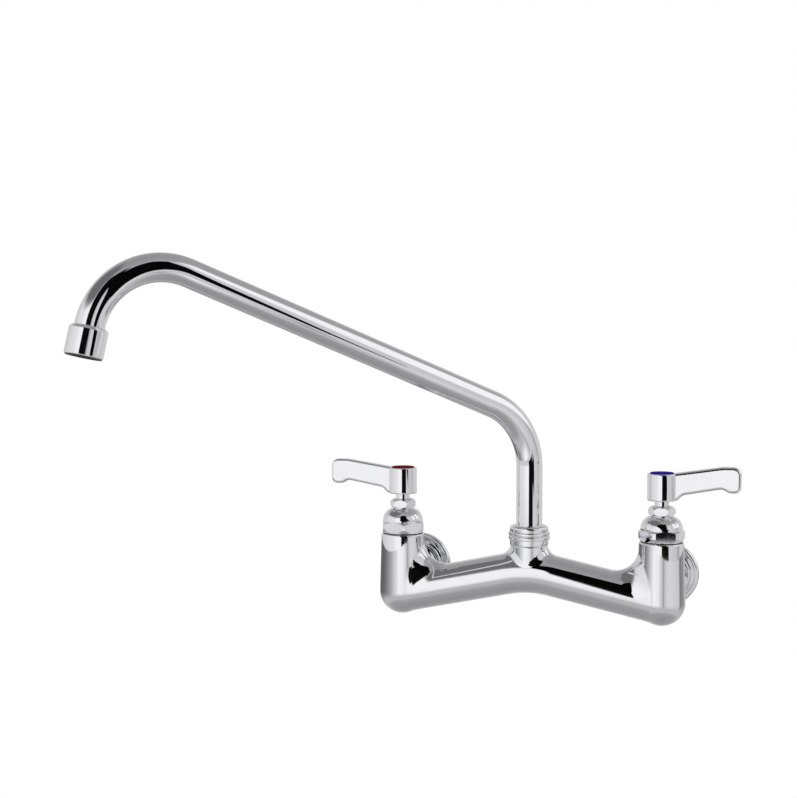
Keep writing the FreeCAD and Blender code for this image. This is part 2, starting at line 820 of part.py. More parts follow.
def all_parts():
    parts = {"body_casting": body_casting()}
    for side, sign in SIDES.items():
        parts[side + "_inlet"] = on_inlet(inlet(), sign)
        parts[side + "_inlet_washer"] = on_inlet(inlet_washer(), sign)
        parts[side + "_coupling_nut"] = on_inlet(coupling_nut(), sign)
        parts[side + "_valve_seat"] = on_valve(valve_seat(), sign)
        parts[side + "_bonnet_gasket"] = on_valve(bonnet_gasket(), sign)
        parts[side + "_bonnet"] = on_valve(bonnet(BONNET_TURNS[side]), sign)
        parts[side + "_packing_ring"] = on_valve(packing_ring(), sign)
        parts[side + "_gland_ring"] = on_valve(gland_ring(), sign)
        parts[side + "_packing_nut"] = on_valve(packing_nut(), sign)
        parts[side + "_washer_holder"] = on_valve(washer_holder(), sign)
        parts[side + "_seat_washer"] = on_valve(seat_washer(), sign)
        parts[side + "_washer_screw"] = on_valve(washer_screw(), sign)
        parts[side + "_stem"] = on_valve(spun(stem(), LEVER_TURNS[side]), sign)
        parts[side + "_lever_handle"] = on_valve(lever_handle(LEVER_TURNS[side]), sign)
        parts[side + "_handle_screw"] = on_valve(handle_screw(), sign)
        parts[side + "_index_button"] = on_valve(index_button(), sign)
    parts["slip_ring"] = slip_ring()
    parts["spout_nut"] = spout_nut()
    parts["spout_tube"] = spout_tube()
    parts["spout_sleeve"] = spout_sleeve()
    parts["spout_o_rings"] = o_rings()
    parts["ferrule"] = ferrule()
    parts["mouth_washer"] = mouth_washer()
    parts["flow_screen"] = flow_screen()
    parts["flow_straightener"] = flow_straightener()
    return parts


os.makedirs("parts", exist_ok=True)
for name, shape in all_parts().items():
    solids = len(shape.Solids)
    print(name, "solids", solids, "valid", shape.isValid(), "volume", round(shape.Volume, 1))
    shape.exportStep("parts/" + name + ".step")
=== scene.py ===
import json
import math

import bmesh
import bpy
import numpy as np
from bpy.props import FloatProperty, FloatVectorProperty, IntProperty, PointerProperty
from mathutils import Matrix, Vector


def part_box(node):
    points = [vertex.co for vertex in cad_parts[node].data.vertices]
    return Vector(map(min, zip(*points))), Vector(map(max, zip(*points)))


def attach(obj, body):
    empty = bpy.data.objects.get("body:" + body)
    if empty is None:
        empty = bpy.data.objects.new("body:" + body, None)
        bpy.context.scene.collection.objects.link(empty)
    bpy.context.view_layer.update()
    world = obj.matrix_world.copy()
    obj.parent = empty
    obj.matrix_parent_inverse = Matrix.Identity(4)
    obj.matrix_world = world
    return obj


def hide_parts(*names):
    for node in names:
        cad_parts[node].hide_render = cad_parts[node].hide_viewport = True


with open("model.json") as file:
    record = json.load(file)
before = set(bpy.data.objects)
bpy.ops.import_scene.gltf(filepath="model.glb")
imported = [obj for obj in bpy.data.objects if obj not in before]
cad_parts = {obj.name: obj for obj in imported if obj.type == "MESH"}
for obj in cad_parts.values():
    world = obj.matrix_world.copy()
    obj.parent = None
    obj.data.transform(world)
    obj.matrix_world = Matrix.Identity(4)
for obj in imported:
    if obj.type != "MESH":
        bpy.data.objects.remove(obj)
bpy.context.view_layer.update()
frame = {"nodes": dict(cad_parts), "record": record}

bl_info = {
    "name": "Wall-mounted tap",
    "version": (1, 0, 0),
    "blender": (4, 5, 0),
    "location": "3D View > Sidebar > Tap",
    "description": "Dresses a wall-mounted tap: casting, valves, levers, swing spout and a plain studio",
    "category": "Object",
}

# The CAD frame gives every place. Lengths are metres.
SIDES = {"hot": -1.0, "cold": 1.0}
AXIS_Y = sum(corner.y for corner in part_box("spout_nut")) / 2.0
VALVE_X = sum(corner.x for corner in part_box("cold_packing_ring")) / 2.0
TINY = 1e-6
# Clearance between pieces, how far a cut runs past what it opens, and the roundings of edges.
GAP = 0.0001
OVERLAP = 0.001
FINE_EDGE = 0.0003
EDGE = 0.0004
BROAD_EDGE = 0.0008

# Radii and steps of the casting, the bonnets and the nuts.
RIM_EDGE = 0.0007
SEAT_BORE = 0.0081
THREAD_BORE = 0.0131
INLET_BORE = 0.007
SHANK_LENGTH = 0.012
CHAMBER_FLOOR = 0.003
SLEEVE_ROOM = 0.0012
BONNET_BORE = 0.0094
BONNET_THREAD = 0.013
BONNET_ROOM = 0.009
PACKING_BORE = 0.00806
NUT_PLUG = 0.008
NUT_FOOT = 0.0086
COUPLING_COLLAR = 0.0107
COUPLING_THREAD = 0.0133
COUPLING_FLOOR = 0.003
# Corners of a wall flange outwards from the wall: those of its rim by their distance from it, then by radius.
FLANGE_RIM = [(0.0, 0.0, 0.0005), (0.0, 0.005, 0.0022), (0.0032, 0.005, 0.0006), (0.0038, 0.0036, FINE_EDGE)]
FLANGE_STEPS = [
    (0.0194, 0.0036, FINE_EDGE), (0.0188, 0.0085, 0.0015), (0.016, 0.0085, FINE_EDGE),
    (0.0154, 0.0125, 0.0013),
]
PIPE_BORE = 0.0099
PIPE_DEPTH = 0.013
TAIL_RADIUS = 0.0104
TAIL_COLLAR = 0.0126
TAIL_COLLAR_HEIGHT = 0.004

# Shape of a lever's toe, of the hollow under its blade and of the recess in its hub.
TOE_LENGTH = 0.0097
TOE_STEP = 0.0029
ROOT_DEPTH = 0.008
HOLLOW_ROOT = (0.0049, 0.0159)
SCREW_RECESS = (0.0045, 0.0024)
SCREW_BORE = 0.0021
SQUARE_HALF = 0.00396
# Place and shape of the spout nut's ridges.
RIDGE_START = 0.0044
RIDGE_GAP = 0.0003
RIDGE_EDGE = 0.0009
# Inputs of the tree that bends the tube, by their type.
TUBE_INPUTS = {
    "Vector": ("Start", "Lower corner", "Upper corner", "End"),
    "Float": ("Radius", "Wall", "Lower bend", "Upper bend"),
    "Int": ("Sides", "Bend steps"),
    "Material": ("Material",),
}

# The room that the chrome mirrors. Angles are degrees: azimuths to the right of the camera's side,
# elevations above the horizon, and brightnesses at angles.
ROOM_LEVELS = [
    (-90.0, 0.30), (-60.0, 0.34), (-20.0, 0.62), (0.0, 0.66), (18.0, 0.62), (45.0, 0.36), (90.0, 0.29),
]
# Panels of the room: azimuths, elevations, widths of side, lower and upper edges, brightnesses at azimuths.
PANELS = [
    ((-112.0, -8.0), (-7.6, 30.0), (5.0, 2.5, 8.0), [(-112.0, 0.70), (-60.0, 0.80), (-30.0, 0.96)]),
    ((5.0, 90.0), (-7.6, 40.0), (5.0, 2.5, 8.0), [(18.0, 0.50), (30.0, 0.66), (60.0, 0.60), (90.0, 0.38)]),
    ((-125.0, -24.0), (34.0, 74.0), (12.0, 10.0, 10.0), [(0.0, 0.16)]),
    ((60.0, 106.0), (10.0, 42.0), (10.0, 8.0, 8.0), [(0.0, 0.98)]),
    ((-10.0, 25.0), (-12.0, 4.0), (2.0, 2.0, 4.0), [(0.0, 0.004)]),
    ((-17.5, 19.0), (2.0, 54.0), (2.0, 4.0, 6.0), [(0.0, 0.004)]),
]
# Outline of the dark flag that the spout mirrors: metres to the right of the outlet and above the inlets.
FLAG_OUTLINE = [
    (0.29, 0.009), (0.30, 0.035), (0.20, 0.10), (0.14, 0.20), (0.09, 0.28), (0.06, 0.58), (-0.04, 0.60),
    (-0.20, 0.46), (-0.25, 0.37), (-0.14, 0.25), (-0.05, 0.15), (0.05, 0.09), (0.13, 0.045),
]
FLAG_DISTANCE = 0.395
FLAG_BLACK = (0.004, 0.004, 0.004, 1.0)
# Low screen around the tap that glows, with the brightness of its glow at azimuths. Only mirroring surfaces
# show the glow; mostly the casting mirrors it.
SCREEN_RADIUS = 0.42
SCREEN_TOP = -0.014
SCREEN_FADE = (-0.22, -0.06)
SCREEN_STEPS = 96
SCREEN_FOOT_LEVEL = 0.50
SCREEN_LEVELS = [
    (-180.0, 0.22), (-155.0, 0.14), (-116.0, 0.13), (-100.0, 0.18), (-84.0, 0.30), (-72.0, 0.42),
    (-58.0, 0.62), (-45.0, 0.78), (-36.0, 0.96), (-11.0, 0.90), (-3.0, 0.74), (6.0, 0.60), (13.0, 0.38),
    (21.0, 0.62), (35.0, 0.72), (75.0, 0.64), (88.0, 0.22), (104.0, 0.30), (130.0, 0.55), (180.0, 0.22),
]
# Soft lamps by azimuth and elevation, and the height that they are turned to.
LAMPS = {"left_lamp": (-46.0, 30.0), "right_lamp": (47.0, 35.0)}
LAMP_SIZE = 1.2
LAMP_DISTANCE = 1.3
LAMP_AIM = 0.06


def low_z(node):
    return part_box(node)[0].z


def high_z(node):
    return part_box(node)[1].z


def valve_place(side):
    return Vector((SIDES[side] * VALVE_X, AXIS_Y, 0.0))


def corner_radius(flats):
    """Radius at the corners of a hexagon with the given width across its flats."""
    return flats / 2.0 / math.cos(math.pi / 6.0)


def length(name, default, description):
    return FloatProperty(name=name, default=default, description=description, unit="LENGTH", precision=5)


def angle(name, degrees, description):
    return FloatProperty(name=name, default=math.radians(degrees), description=description, subtype="ANGLE")


def count(name, default, description):
    return IntProperty(name=name, default=default, description=description, min=8)


def point(name, default, description):
    return FloatVectorProperty(name=name, default=default, description=description, unit="LENGTH")


def tint(name, default, description):
    return FloatVectorProperty(name=name, default=default, description=description,
                               subtype="COLOR", min=0.0, max=1.0)


class TapCastingSizes(bpy.types.PropertyGroup):
    """Sizes of the cast body."""
    arm_radius: length("Arm radius", 0.0159, "Radius of the two arms")
    arm_bore: length("Arm bore", 0.0085, "Radius of the waterway in the arms")
    arm_rise: length("Arm rise", 0.0217, "Height that an arm gains from a column to the middle")
    arm_bend: length("Arm bend", 0.087, "Radius of the bend where the arms meet")
    column_rim: length("Column rim", 0.017, "Radius of a column at its top")
    column_foot: length("Column foot", 0.0182, "Radius of a column's round foot")
    column_height: length("Column height", 0.0472, "Height of a column's rim above the arm's axis")
    foot_rise: length("Foot rise", 0.0015, "Height of the foot's centre above the arm's axis")
    arm_fillet: length("Arm fillet", 0.018, "Fillet between an arm and a column")
    outlet_radius: length("Outlet radius", 0.01425, "Radius of the outlet boss")
    outlet_height: length("Outlet height", 0.0197, "Height of the outlet boss above the arms")
    outlet_fillet: length("Outlet fillet", 0.0095, "Fillet between the outlet boss and the arms")
    neck_radius: length("Neck radius", 0.0125, "Radius of the threaded neck under the spout nut")
    socket_radius: length("Socket radius", 0.0109, "Radius of the socket that the spout turns in")
    boss_radius: length("Boss radius", 0.0159, "Radius of the bosses that face the wall")
    boss_fillet: length("Boss fillet", 0.005, "Fillet between a wall boss and a column")
    shank_radius: length("Shank radius", 0.0132, "Radius of the shanks inside the coupling nuts")
    chamber_radius: length("Chamber radius", 0.0122, "Radius of the valve chambers")
    cell: length("Cell", 0.0009, "Spacing of the grid that the casting's skin is drawn on")


class TapValveSizes(bpy.types.PropertyGroup):
    """Sizes of the bonnets, packing nuts, coupling nuts and wall flanges."""
    bonnet_flats: length("Bonnet flats", 0.0318, "Width across the bonnet's flats")
    bonnet_corner: length("Bonnet corner", 0.0176, "Radius of the bonnet's corners")
    bonnet_foot: length("Bonnet foot", 0.0158, "Radius of the bonnet's lower edge")
    bonnet_band: length("Bonnet band", 0.0075, "Height of the bonnet's flats")
    dome_radius: length("Dome radius", 0.0098, "Radius of the bonnet's shoulder")
    nut_flats: length("Packing nut flats", 0.018, "Width across the packing nut's flats")
    stem_radius: length("Stem radius", 0.0055, "Radius of the stem")
    flange_radius: length("Flange radius", 0.0256, "Radius of the wall flange")
    coupling_flats: length("Coupling flats", 0.0318, "Width across the coupling nut's flats")
    hot_turn: angle("Hot bonnet turn", 47.0, "Where the hot bonnet stopped when it was tightened")
    cold_turn: angle("Cold bonnet turn", 15.0, "Where the cold bonnet stopped when it was tightened")
    sides: count("Sides", 144, "Divisions around a turned piece")


class TapHandleSizes(bpy.types.PropertyGroup):
    """Sizes of the lever handles and their index buttons."""
    hub_radius: length("Hub radius", 0.0111, "Radius of the handle's hub")
    reach: length("Reach", 0.0588, "Distance from the stem's axis to the lever's tip")
    lift: length("Lift", 0.0059, "Height of the lever's crest above the hub")
    tip_depth: length("Tip depth", 0.0197, "Height of the lever's tip")
    root_width: length("Root width", 0.010, "Width of the blade at the hub")
    tip_width: length("Tip width", 0.008, "Width of the blade at its tip")
    edge: length("Edge", 0.002, "Radius of the blade's edges")
    button_radius: length("Button radius", 0.009, "Radius of the index button")
    button_sides: count("Button sides", 96, "Divisions around the index button")
    hot_turn: angle("Hot lever turn", 180.0, "Direction that the hot lever points in")
    cold_turn: angle("Cold lever turn", 0.0, "Direction that the cold lever points in")
    cell: length("Cell", 0.00045, "Spacing of the grid that the handle's skin is drawn on")


class TapSpoutSizes(bpy.types.PropertyGroup):
    """Sizes of the swing spout, its nut and its ferrule."""
    tube_radius: length("Tube radius", 0.01015, "Outer radius of the tube")
    wall: length("Wall", 0.0012, "Thickness of the tube's wall")
    upright: length("Upright", 0.0457, "Straight length above the spout nut")
    lower_bend: length("Lower bend", 0.0529, "Radius of the bend above the upright")
    run: length("Run", 0.2593, "Straight length of the inclined run")
    upper_bend: length("Upper bend", 0.0512, "Radius of the bend over the tip")
    incline: angle("Incline", 21.3, "Slope of the long run")
    tip_tilt: angle("Tip tilt", 12.5, "Lean of the tip away from plumb")
    swing: angle("Swing", -138.0, "Direction that the spout points in")
    socket: length("Socket", 0.006, "Depth that the tube goes into the ferrule")
    nut_radius: length("Nut radius", 0.0149, "Radius of the spout nut")
    ridge_rise: length("Ridge rise", 0.0011, "Height of the nut's ridges")
    ridge_width: length("Ridge width", 0.0029, "Width of the nut's ridges")
    ferrule_radius: length("Ferrule radius", 0.0131, "Radius of the ferrule at the tip")
    ferrule_length: length("Ferrule length", 0.0202, "Length of the ferrule")
    mouth_radius: length("Mouth radius", 0.0116, "Radius of the ferrule's mouth")
    sides: count("Sides", 96, "Divisions around the tube")
    bend_steps: count("Bend steps", 48, "Divisions along each bend")


class TapFinishes(bpy.types.PropertyGroup):
    """Colours of the tap's materials."""
    chrome_bright: tint("Bright chrome", (0.93, 0.93, 0.96), "Chrome where it is cleanest")
    chrome_dull: tint("Dull chrome", (0.88, 0.88, 0.915), "Chrome under a faint film")
    brass: tint("Brass", (0.62, 0.44, 0.20), "Machined brass")
    steel: tint("Steel", (0.55, 0.55, 0.56), "Stainless steel")
    red: tint("Hot index", (0.26, 0.004, 0.004), "Red of the hot index button")
    blue: tint("Cold index", (0.03, 0.012, 0.46), "Blue of the cold index button")
    rubber: tint("Rubber", (0.022, 0.022, 0.024), "Seat washers and O-rings")
    gasket: tint("Gasket", (0.05, 0.045, 0.042), "Fibre of the flat washers")
    packing: tint("Packing", (0.055, 0.055, 0.06), "Graphite packing")
    plastic: tint("Plastic", (0.03, 0.03, 0.032), "Black acetal")


class TapStudio(bpy.types.PropertyGroup):
    """Places and levels of the camera, the lamps and the floor."""
    camera: point("Camera", (0.1736, -1.1165, 0.184), "Where the camera stands")
    target: point("Target", (-0.1053, -0.06, 0.1399), "Point that the camera looks at")
    lens: FloatProperty(name="Lens", default=62.0, description="Focal length", unit="CAMERA")
    floor_drop: length("Floor drop", 0.32, "Depth of the floor below the inlets' axis")
    floor_size: length("Floor size", 5.0, "Half the width of the floor")
    lamp_level: FloatProperty(name="Lamps", default=0.55, description="Brightness of the two soft lamps")


# Shader maths

class Shade:
    """One socket of a shader tree. Arithmetic on it adds the Math nodes that it needs."""

    def __init__(self, tree, socket=None):
        self.tree = tree
        self.socket = socket

    def node(self, kind, settings=None, inputs=None, output=0):
        """Adds a node, its settings first and then its inputs, and gives one of its outputs."""
        made = self.tree.nodes.new(kind)
        for name, value in (settings or {}).items():
            setattr(made, name, value)
        for name, value in (inputs or {}).items():
            if isinstance(value, Shade):
                self.tree.links.new(value.socket, made.inputs[name])
            else:
                made.inputs[name].default_value = value
        return Shade(self.tree, made.outputs[output] if made.outputs else None)

    def maths(self, operation, *values):
        return self.node("ShaderNodeMath", {"operation": operation}, dict(enumerate(values)))

    def __add__(self, other):
        return self.maths("ADD", self, other)

    def __radd__(self, other):
        return self.maths("ADD", other, self)

    def __sub__(self, other):
        return self.maths("SUBTRACT", self, other)

    def __rsub__(self, other):
        return self.maths("SUBTRACT", other, self)

    def __mul__(self, other):
        return self.maths("MULTIPLY", self, other)

    def __rmul__(self, other):
        return self.maths("MULTIPLY", other, self)

    def parts(self, place):
        """The three numbers of a Texture Coordinate output."""
        vector = self.node("ShaderNodeTexCoord", output=place)
        return [self.node("ShaderNodeSeparateXYZ", inputs={0: vector}, output=axis) for axis in range(3)]

    def blend(self, low, high):
        """Colour that goes from low to high as this value goes from 0 to 1."""
        settings = {"data_type": "RGBA", "clamp_factor": True}
        return self.node("ShaderNodeMix", settings, {0: self, 6: rgba(low), 7: rgba(high)}, 2)

    def step(self, low, high):
        """0 below low and 1 above high, with a smooth change between them."""
        settings = {"interpolation_type": "SMOOTHSTEP"}
        return self.node("ShaderNodeMapRange", settings, {0: self, 1: low, 2: high})

    def between(self, low, high, low_edge, high_edge):
        """1 from low to high and 0 outside, with smooth changes as wide as the edges."""
        rise = self.step(low - low_edge / 2.0, low + low_edge / 2.0)
        return rise * (1.0 - self.step(high - high_edge / 2.0, high + high_edge / 2.0))

    def graded(self, levels):
        """Level that passes smoothly through the given (place, level) pairs."""
        result = levels[0][1]
        for before, after in zip(levels, levels[1:]):
            result = result + self.step(before[0], after[0]) * (after[1] - before[1])
        return result


def rgba(colour):
    return (*colour[:3], 1.0)


# Materials

class Finish:
    """A material with one Principled shader, whose sockets take constants or shades."""

    def __init__(self, name, **constants):
        self.material = bpy.data.materials.new(name)
        self.material.use_nodes = True
        self.tree = self.material.node_tree
        self.shader = self.tree.nodes["Principled BSDF"]
        self.shade = Shade(self.tree)
        for socket, value in constants.items():
            self.shader.inputs[socket.replace("_", " ")].default_value = value

    def feed(self, socket, shade):
        self.tree.links.new(shade.socket, self.shader.inputs[socket])

    def noise(self, scale, detail):
        place = self.shade.node("ShaderNodeTexCoord", output="Object")
        inputs = {"Vector": place, "Scale": scale, "Detail": detail}
        return self.shade.node("ShaderNodeTexNoise", inputs=inputs)

    def rings(self, scale, detail):
        """Fine lines around a turned piece, along the map of its outline."""
        uv = self.shade.node("ShaderNodeUVMap", {"uv_map": "outline"})
        along = self.shade.node("ShaderNodeSeparateXYZ", inputs={0: uv}, output=1)
        inputs = {"W": along, "Scale": scale, "Detail": detail}
        return self.shade.node("ShaderNodeTexNoise", {"noise_dimensions": "1D"}, inputs)

    def tinted(self, shade, colour, share, lift=0.0):
        """Colour that goes over to a darker or paler tone of itself."""
        other = [min(1.0, share * channel + lift) for channel in colour]
        self.feed("Base Color", shade.blend(colour, other))

    def bump(self, height, depth, strength):
        inputs = {"Height": height, "Distance": depth, "Strength": strength}
        self.feed("Normal", self.shade.node("ShaderNodeBump", inputs=inputs))


def polished_chrome(name, finishes):
    """Chrome over polished brass, with a faint film and a very slight waviness."""
    finish = Finish(name, Metallic=1.0)
    film = finish.noise(55.0, 3.0)
    specks = finish.noise(2600.0, 2.0)
    finish.feed("Base Color", film.blend(finishes.chrome_bright, finishes.chrome_dull))
    finish.feed("Roughness", 0.03 + film.step(0.45, 0.75) * 0.02 + specks.step(0.55, 0.8) * 0.015)
    finish.bump(film, 0.00004, 0.35)
    return finish.material


def turned_chrome(name, finishes):
    """Chrome over a turned surface: fine lines run around the piece."""
    finish = Finish(name, Metallic=1.0)
    film = finish.noise(70.0, 3.0)
    lines = finish.rings(5200.0, 3.0)
    finish.feed("Base Color", film.blend(finishes.chrome_bright, finishes.chrome_dull))
    finish.feed("Roughness", 0.03 + film.step(0.4, 0.7) * 0.02 + lines.step(0.5, 0.8) * 0.025)
    finish.bump(lines, 0.000004, 0.5)
    return finish.material


def machined_brass(name, colour):
    """Bare brass with a light tarnish."""
    finish = Finish(name, Metallic=1.0)
    tarnish = finish.noise(160.0, 5.0)
    grain = finish.noise(1800.0, 3.0)
    finish.tinted(tarnish.step(0.4, 0.7), colour, 0.62)
    finish.feed("Roughness", 0.24 + tarnish * 0.18 + grain * 0.06)
    finish.bump(grain, 0.00003, 0.4)
    return finish.material


def brushed_steel(name, colour):
    """Stainless steel with a fine grain."""
    finish = Finish(name, Metallic=1.0)
    grain = finish.noise(3200.0, 4.0)
    finish.tinted(finish.noise(220.0, 2.0), colour, 0.8)
    finish.feed("Roughness", 0.22 + grain * 0.16)
    finish.bump(grain, 0.00002, 0.4)
    return finish.material


def moulded(name, colour, roughness, grain_scale, grain_depth):
    """Moulded rubber or plastic: a matt grain with slightly paler worn patches."""
    finish = Finish(name, Metallic=0.0)
    grain = finish.noise(grain_scale, 3.0)
    finish.tinted(finish.noise(300.0, 4.0).step(0.45, 0.75), colour, 1.5, 0.01)
    finish.feed("Roughness", roughness + grain * 0.12)
    finish.bump(grain, grain_depth, 0.5)
    return finish.material


def fibre(name, colour):
    """Pressed fibre, with strands that lie in every direction."""
    finish = Finish(name, Metallic=0.0, Roughness=0.85)
    strands = finish.noise(1500.0, 6.0)
    finish.tinted(strands, colour, 1.7)
    finish.bump(strands, 0.00008, 0.7)
    return finish.material


def index_enamel(name, colour):
    """Coloured enamel of an index button, slightly deeper in places and with a soft shine."""
    finish = Finish(name, Metallic=0.0, Specular_IOR_Level=0.0, Coat_Roughness=0.15)
    cloud = finish.noise(420.0, 3.0)
    grain = finish.noise(3600.0, 2.0)
    finish.tinted(cloud, colour, 0.7)
    finish.feed("Roughness", 0.22 + grain * 0.12)
    finish.feed("Coat Weight", 0.02 + cloud * 0.03)
    finish.bump(grain, 0.000015, 0.4)
    return finish.material


def make_materials(finishes):
    return {
        "chrome": polished_chrome("polished_chrome", finishes),
        "turned": turned_chrome("turned_chrome", finishes),
        "brass": machined_brass("machined_brass", finishes.brass),
        "steel": brushed_steel("brushed_steel", finishes.steel),
        "rubber": moulded("nitrile_rubber", finishes.rubber, 0.5, 2400.0, 0.00002),
        "black_plastic": moulded("black_acetal", finishes.plastic, 0.32, 1900.0, 0.00001),
        "gasket": fibre("fibre_gasket", finishes.gasket),
        "packing": moulded("graphite_packing", finishes.packing, 0.45, 900.0, 0.00006),
        "red_index": index_enamel("red_index", finishes.red),
        "blue_index": index_enamel("blue_index", finishes.blue),
    }


MATERIALS = {}


def material(name):
    """A material of the tap by its short name."""
    if name not in MATERIALS:
        MATERIALS.update(make_materials(bpy.context.scene.tap_finishes))
    return MATERIALS[name]


# Pieces

def finished(name, mesh, matrix, body, replaced, surface):
    """Puts a mesh in place as a piece that rides on a body and stands for a CAD node."""
    mesh.name = name
    mesh.transform(matrix)
    mesh.materials.clear()
    mesh.materials.append(material(surface))
    piece = bpy.data.objects.new(name, mesh)
    bpy.context.scene.collection.objects.link(piece)
    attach(piece, body)
    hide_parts(replaced)


# Turned pieces. Their outlines are corners: radius, height and, where a corner is rounded, its rounding.

class Outline:
    """Closed outline of a turned piece, as short straight spans with the surface's normals at their ends."""

    def __init__(self, corners, steps=10):
        spans = []
        ends = [self.corner_arc(corners, index, steps) for index in range(len(corners))]
        for index, arc in enumerate(ends):
            for begin, end in zip(arc, arc[1:]):
                spans.append((begin[0], end[0], begin[1], end[1]))
            start = arc[-1][0]
            finish = ends[(index + 1) % len(ends)][0][0]
            if np.hypot(*(finish - start)) > TINY:
                along = (finish - start) / np.hypot(*(finish - start))
                across = np.array([along[1], -along[0]])
                spans.append((start, finish, across, across))
        if sum(a[0] * b[1] - b[0] * a[1] for a, b, _, _ in spans) < 0.0:
            spans = [(b, a, -n, -m) for a, b, m, n in reversed(spans)]
        self.spans = [span for span in spans if max(span[0][0], span[1][0]) > TINY]

    @staticmethod
    def corner_arc(corners, index, steps):
        """Points on a corner, with the normal at each: one point, or an arc if the corner is rounded."""
        here = np.array(corners[index][:2], float)
        if len(corners[index]) == 2:
            return [(here, None)]
        radius = corners[index][2]
        before = np.array(corners[index - 1][:2], float) - here
        after = np.array(corners[(index + 1) % len(corners)][:2], float) - here
        before /= np.hypot(*before)
        after /= np.hypot(*after)
        half = math.acos(float(np.clip(before @ after, -1.0, 1.0))) / 2.0
        middle = (before + after) / np.hypot(*(before + after))
        centre = here + middle * radius / math.sin(half)
        begin = here + before * radius / math.tan(half) - centre
        end = here + after * radius / math.tan(half) - centre
        first = math.atan2(begin[1], begin[0])
        turn = math.atan2(begin[0] * end[1] - begin[1] * end[0], begin @ end)
        side = math.copysign(1.0, turn)
        points = []
        for step in range(steps + 1):
            bearing = first + turn * step / steps
            outward = np.array([math.cos(bearing), math.sin(bearing)])
            points.append((centre + outward * radius, outward * side))
        return points


def revolved(outline, sides):
    """Mesh of the outline turned about Z, with closed poles."""
    verts = []
    index = {}
    turns = [2.0 * math.pi * step / sides for step in range(sides)]

    def ring_of(radius, height):
        key = (round(radius, 8), round(height, 8))
        if key not in index:
            first = len(verts)
            if radius < TINY:
                verts.append((0.0, 0.0, height))
                index[key] = [first] * sides
            else:
                verts.extend((radius * math.cos(turn), radius * math.sin(turn), height) for turn in turns)
                index[key] = list(range(first, first + sides))
        return index[key]

    faces = []
    for begin, end, _, _ in outline.spans:
        low = ring_of(*begin)
        high = ring_of(*end)
        for step in range(sides):
            after = (step + 1) % sides
            loop = [low[step], low[after], high[after], high[step]]
            faces.append(list(dict.fromkeys(loop)))
    mesh = bpy.data.meshes.new("turned")
    mesh.from_pydata(verts, [], faces)
    mesh.validate()
    return mesh


def keep_inside_prism(mesh, flats, turn, low, high):
    """Cuts six flats on a turned mesh."""
    blank = bpy.data.objects.new("blank", mesh)
    cutter_mesh = bpy.data.meshes.new("prism")
    cutter = bpy.data.objects.new("prism", cutter_mesh)
    solid = bmesh.new()
    radius = corner_radius(flats)
    spin = Matrix.Rotation(turn + math.pi / 6.0, 4, "Z")
    bmesh.ops.create_cone(solid, cap_ends=True, segments=6, radius1=radius, radius2=radius,
                          depth=high - low, matrix=Matrix.Translation((0, 0, (high + low) / 2.0)) @ spin)
    solid.to_mesh(cutter_mesh)
    solid.free()
    for piece in (blank, cutter):
        bpy.context.scene.collection.objects.link(piece)
    boolean = blank.modifiers.new("flats", "BOOLEAN")
    boolean.operation = "INTERSECT"
    boolean.solver = "EXACT"
    boolean.object = cutter
    cut = bpy.data.meshes.new_from_object(blank.evaluated_get(bpy.context.evaluated_depsgraph_get()))
    bpy.data.objects.remove(blank)
    bpy.data.objects.remove(cutter)
    return cut


def shade_by_outline(mesh, outline, flats):
    """Gives a turned mesh the true normals of its outline, and its flats their own, and maps the outline."""
    starts = np.array([span[0] for span in outline.spans])
    run = np.array([span[1] for span in outline.spans]) - starts
    first_normals = np.array([span[2] if span[2] is not None else span[3] for span in outline.spans])
    last_normals = np.array([span[3] if span[3] is not None else span[2] for span in outline.spans])
    lengths = np.hypot(run[:, 0], run[:, 1])
    travelled = np.concatenate([[0.0], np.cumsum(lengths)[:-1]])
    normals = []
    mapped = []
    for polygon in mesh.polygons:
        centre = polygon.center
        middle = np.array([math.hypot(centre.x, centre.y), centre.z])
        share = np.clip(((middle - starts) * run).sum(1) / lengths ** 2, 0.0, 1.0)
        gap = np.hypot(*(middle - starts - run * share[:, None]).T)
        aim = first_normals + (last_normals - first_normals) * share[:, None]
        around = np.array([centre.x, centre.y]) / max(middle[0], TINY)
        facing = aim[:, 0] * (around @ np.array(polygon.normal[:2])) + aim[:, 1] * polygon.normal.z
        best = int(np.argmin(gap + (facing < 0.8) * 0.001))
        is_flat = flats is not None and gap[best] > TINY * 20 and abs(polygon.normal.z) < 0.001
        for vertex in polygon.vertices:
            spot = mesh.vertices[vertex].co
            radius = math.hypot(spot.x, spot.y)
            here = np.array([radius, spot.z])
            part = float(np.clip((here - starts[best]) @ run[best] / lengths[best] ** 2, 0.0, 1.0))
            aim = first_normals[best] + (last_normals[best] - first_normals[best]) * part
            if is_flat:
                normal = polygon.normal
            elif radius < TINY:
                normal = Vector((0.0, 0.0, math.copysign(1.0, aim[1])))
            else:
                normal = Vector((aim[0] * spot.x / radius, aim[0] * spot.y / radius, aim[1])).normalized()
            normals.append(normal)
            mapped.append((math.atan2(spot.y, spot.x) * 0.01, travelled[best] + part * lengths[best]))
    uv = mesh.uv_layers.new(name="outline")
    for loop, place in enumerate(mapped):
        uv.data[loop].uv = place
    mesh.shade_smooth()
    mesh.normals_split_custom_set(normals)


def turned_mesh(corners, sides, flats=None, turn=0.0):
    """Mesh of a turned piece about Z, with six flats if a width across flats is given."""
    outline = Outline(corners)
    mesh = revolved(outline, sides)
    if flats:
        heights = [corner[1] for corner in corners]
        mesh = keep_inside_prism(mesh, flats, turn, min(heights) - OVERLAP, max(heights) + OVERLAP)
    shade_by_outline(mesh, outline, flats)
    return mesh


def plated_turning(name, corners, matrix, body, replaced, flats=None, turn=0.0):
    """Chromed turned piece, in its place."""
    mesh = turned_mesh(corners, bpy.context.scene.tap_valves.sides, flats, turn)
    finished(name, mesh, matrix, body, replaced, "turned")


# Skins drawn on a grid where a distance function is zero

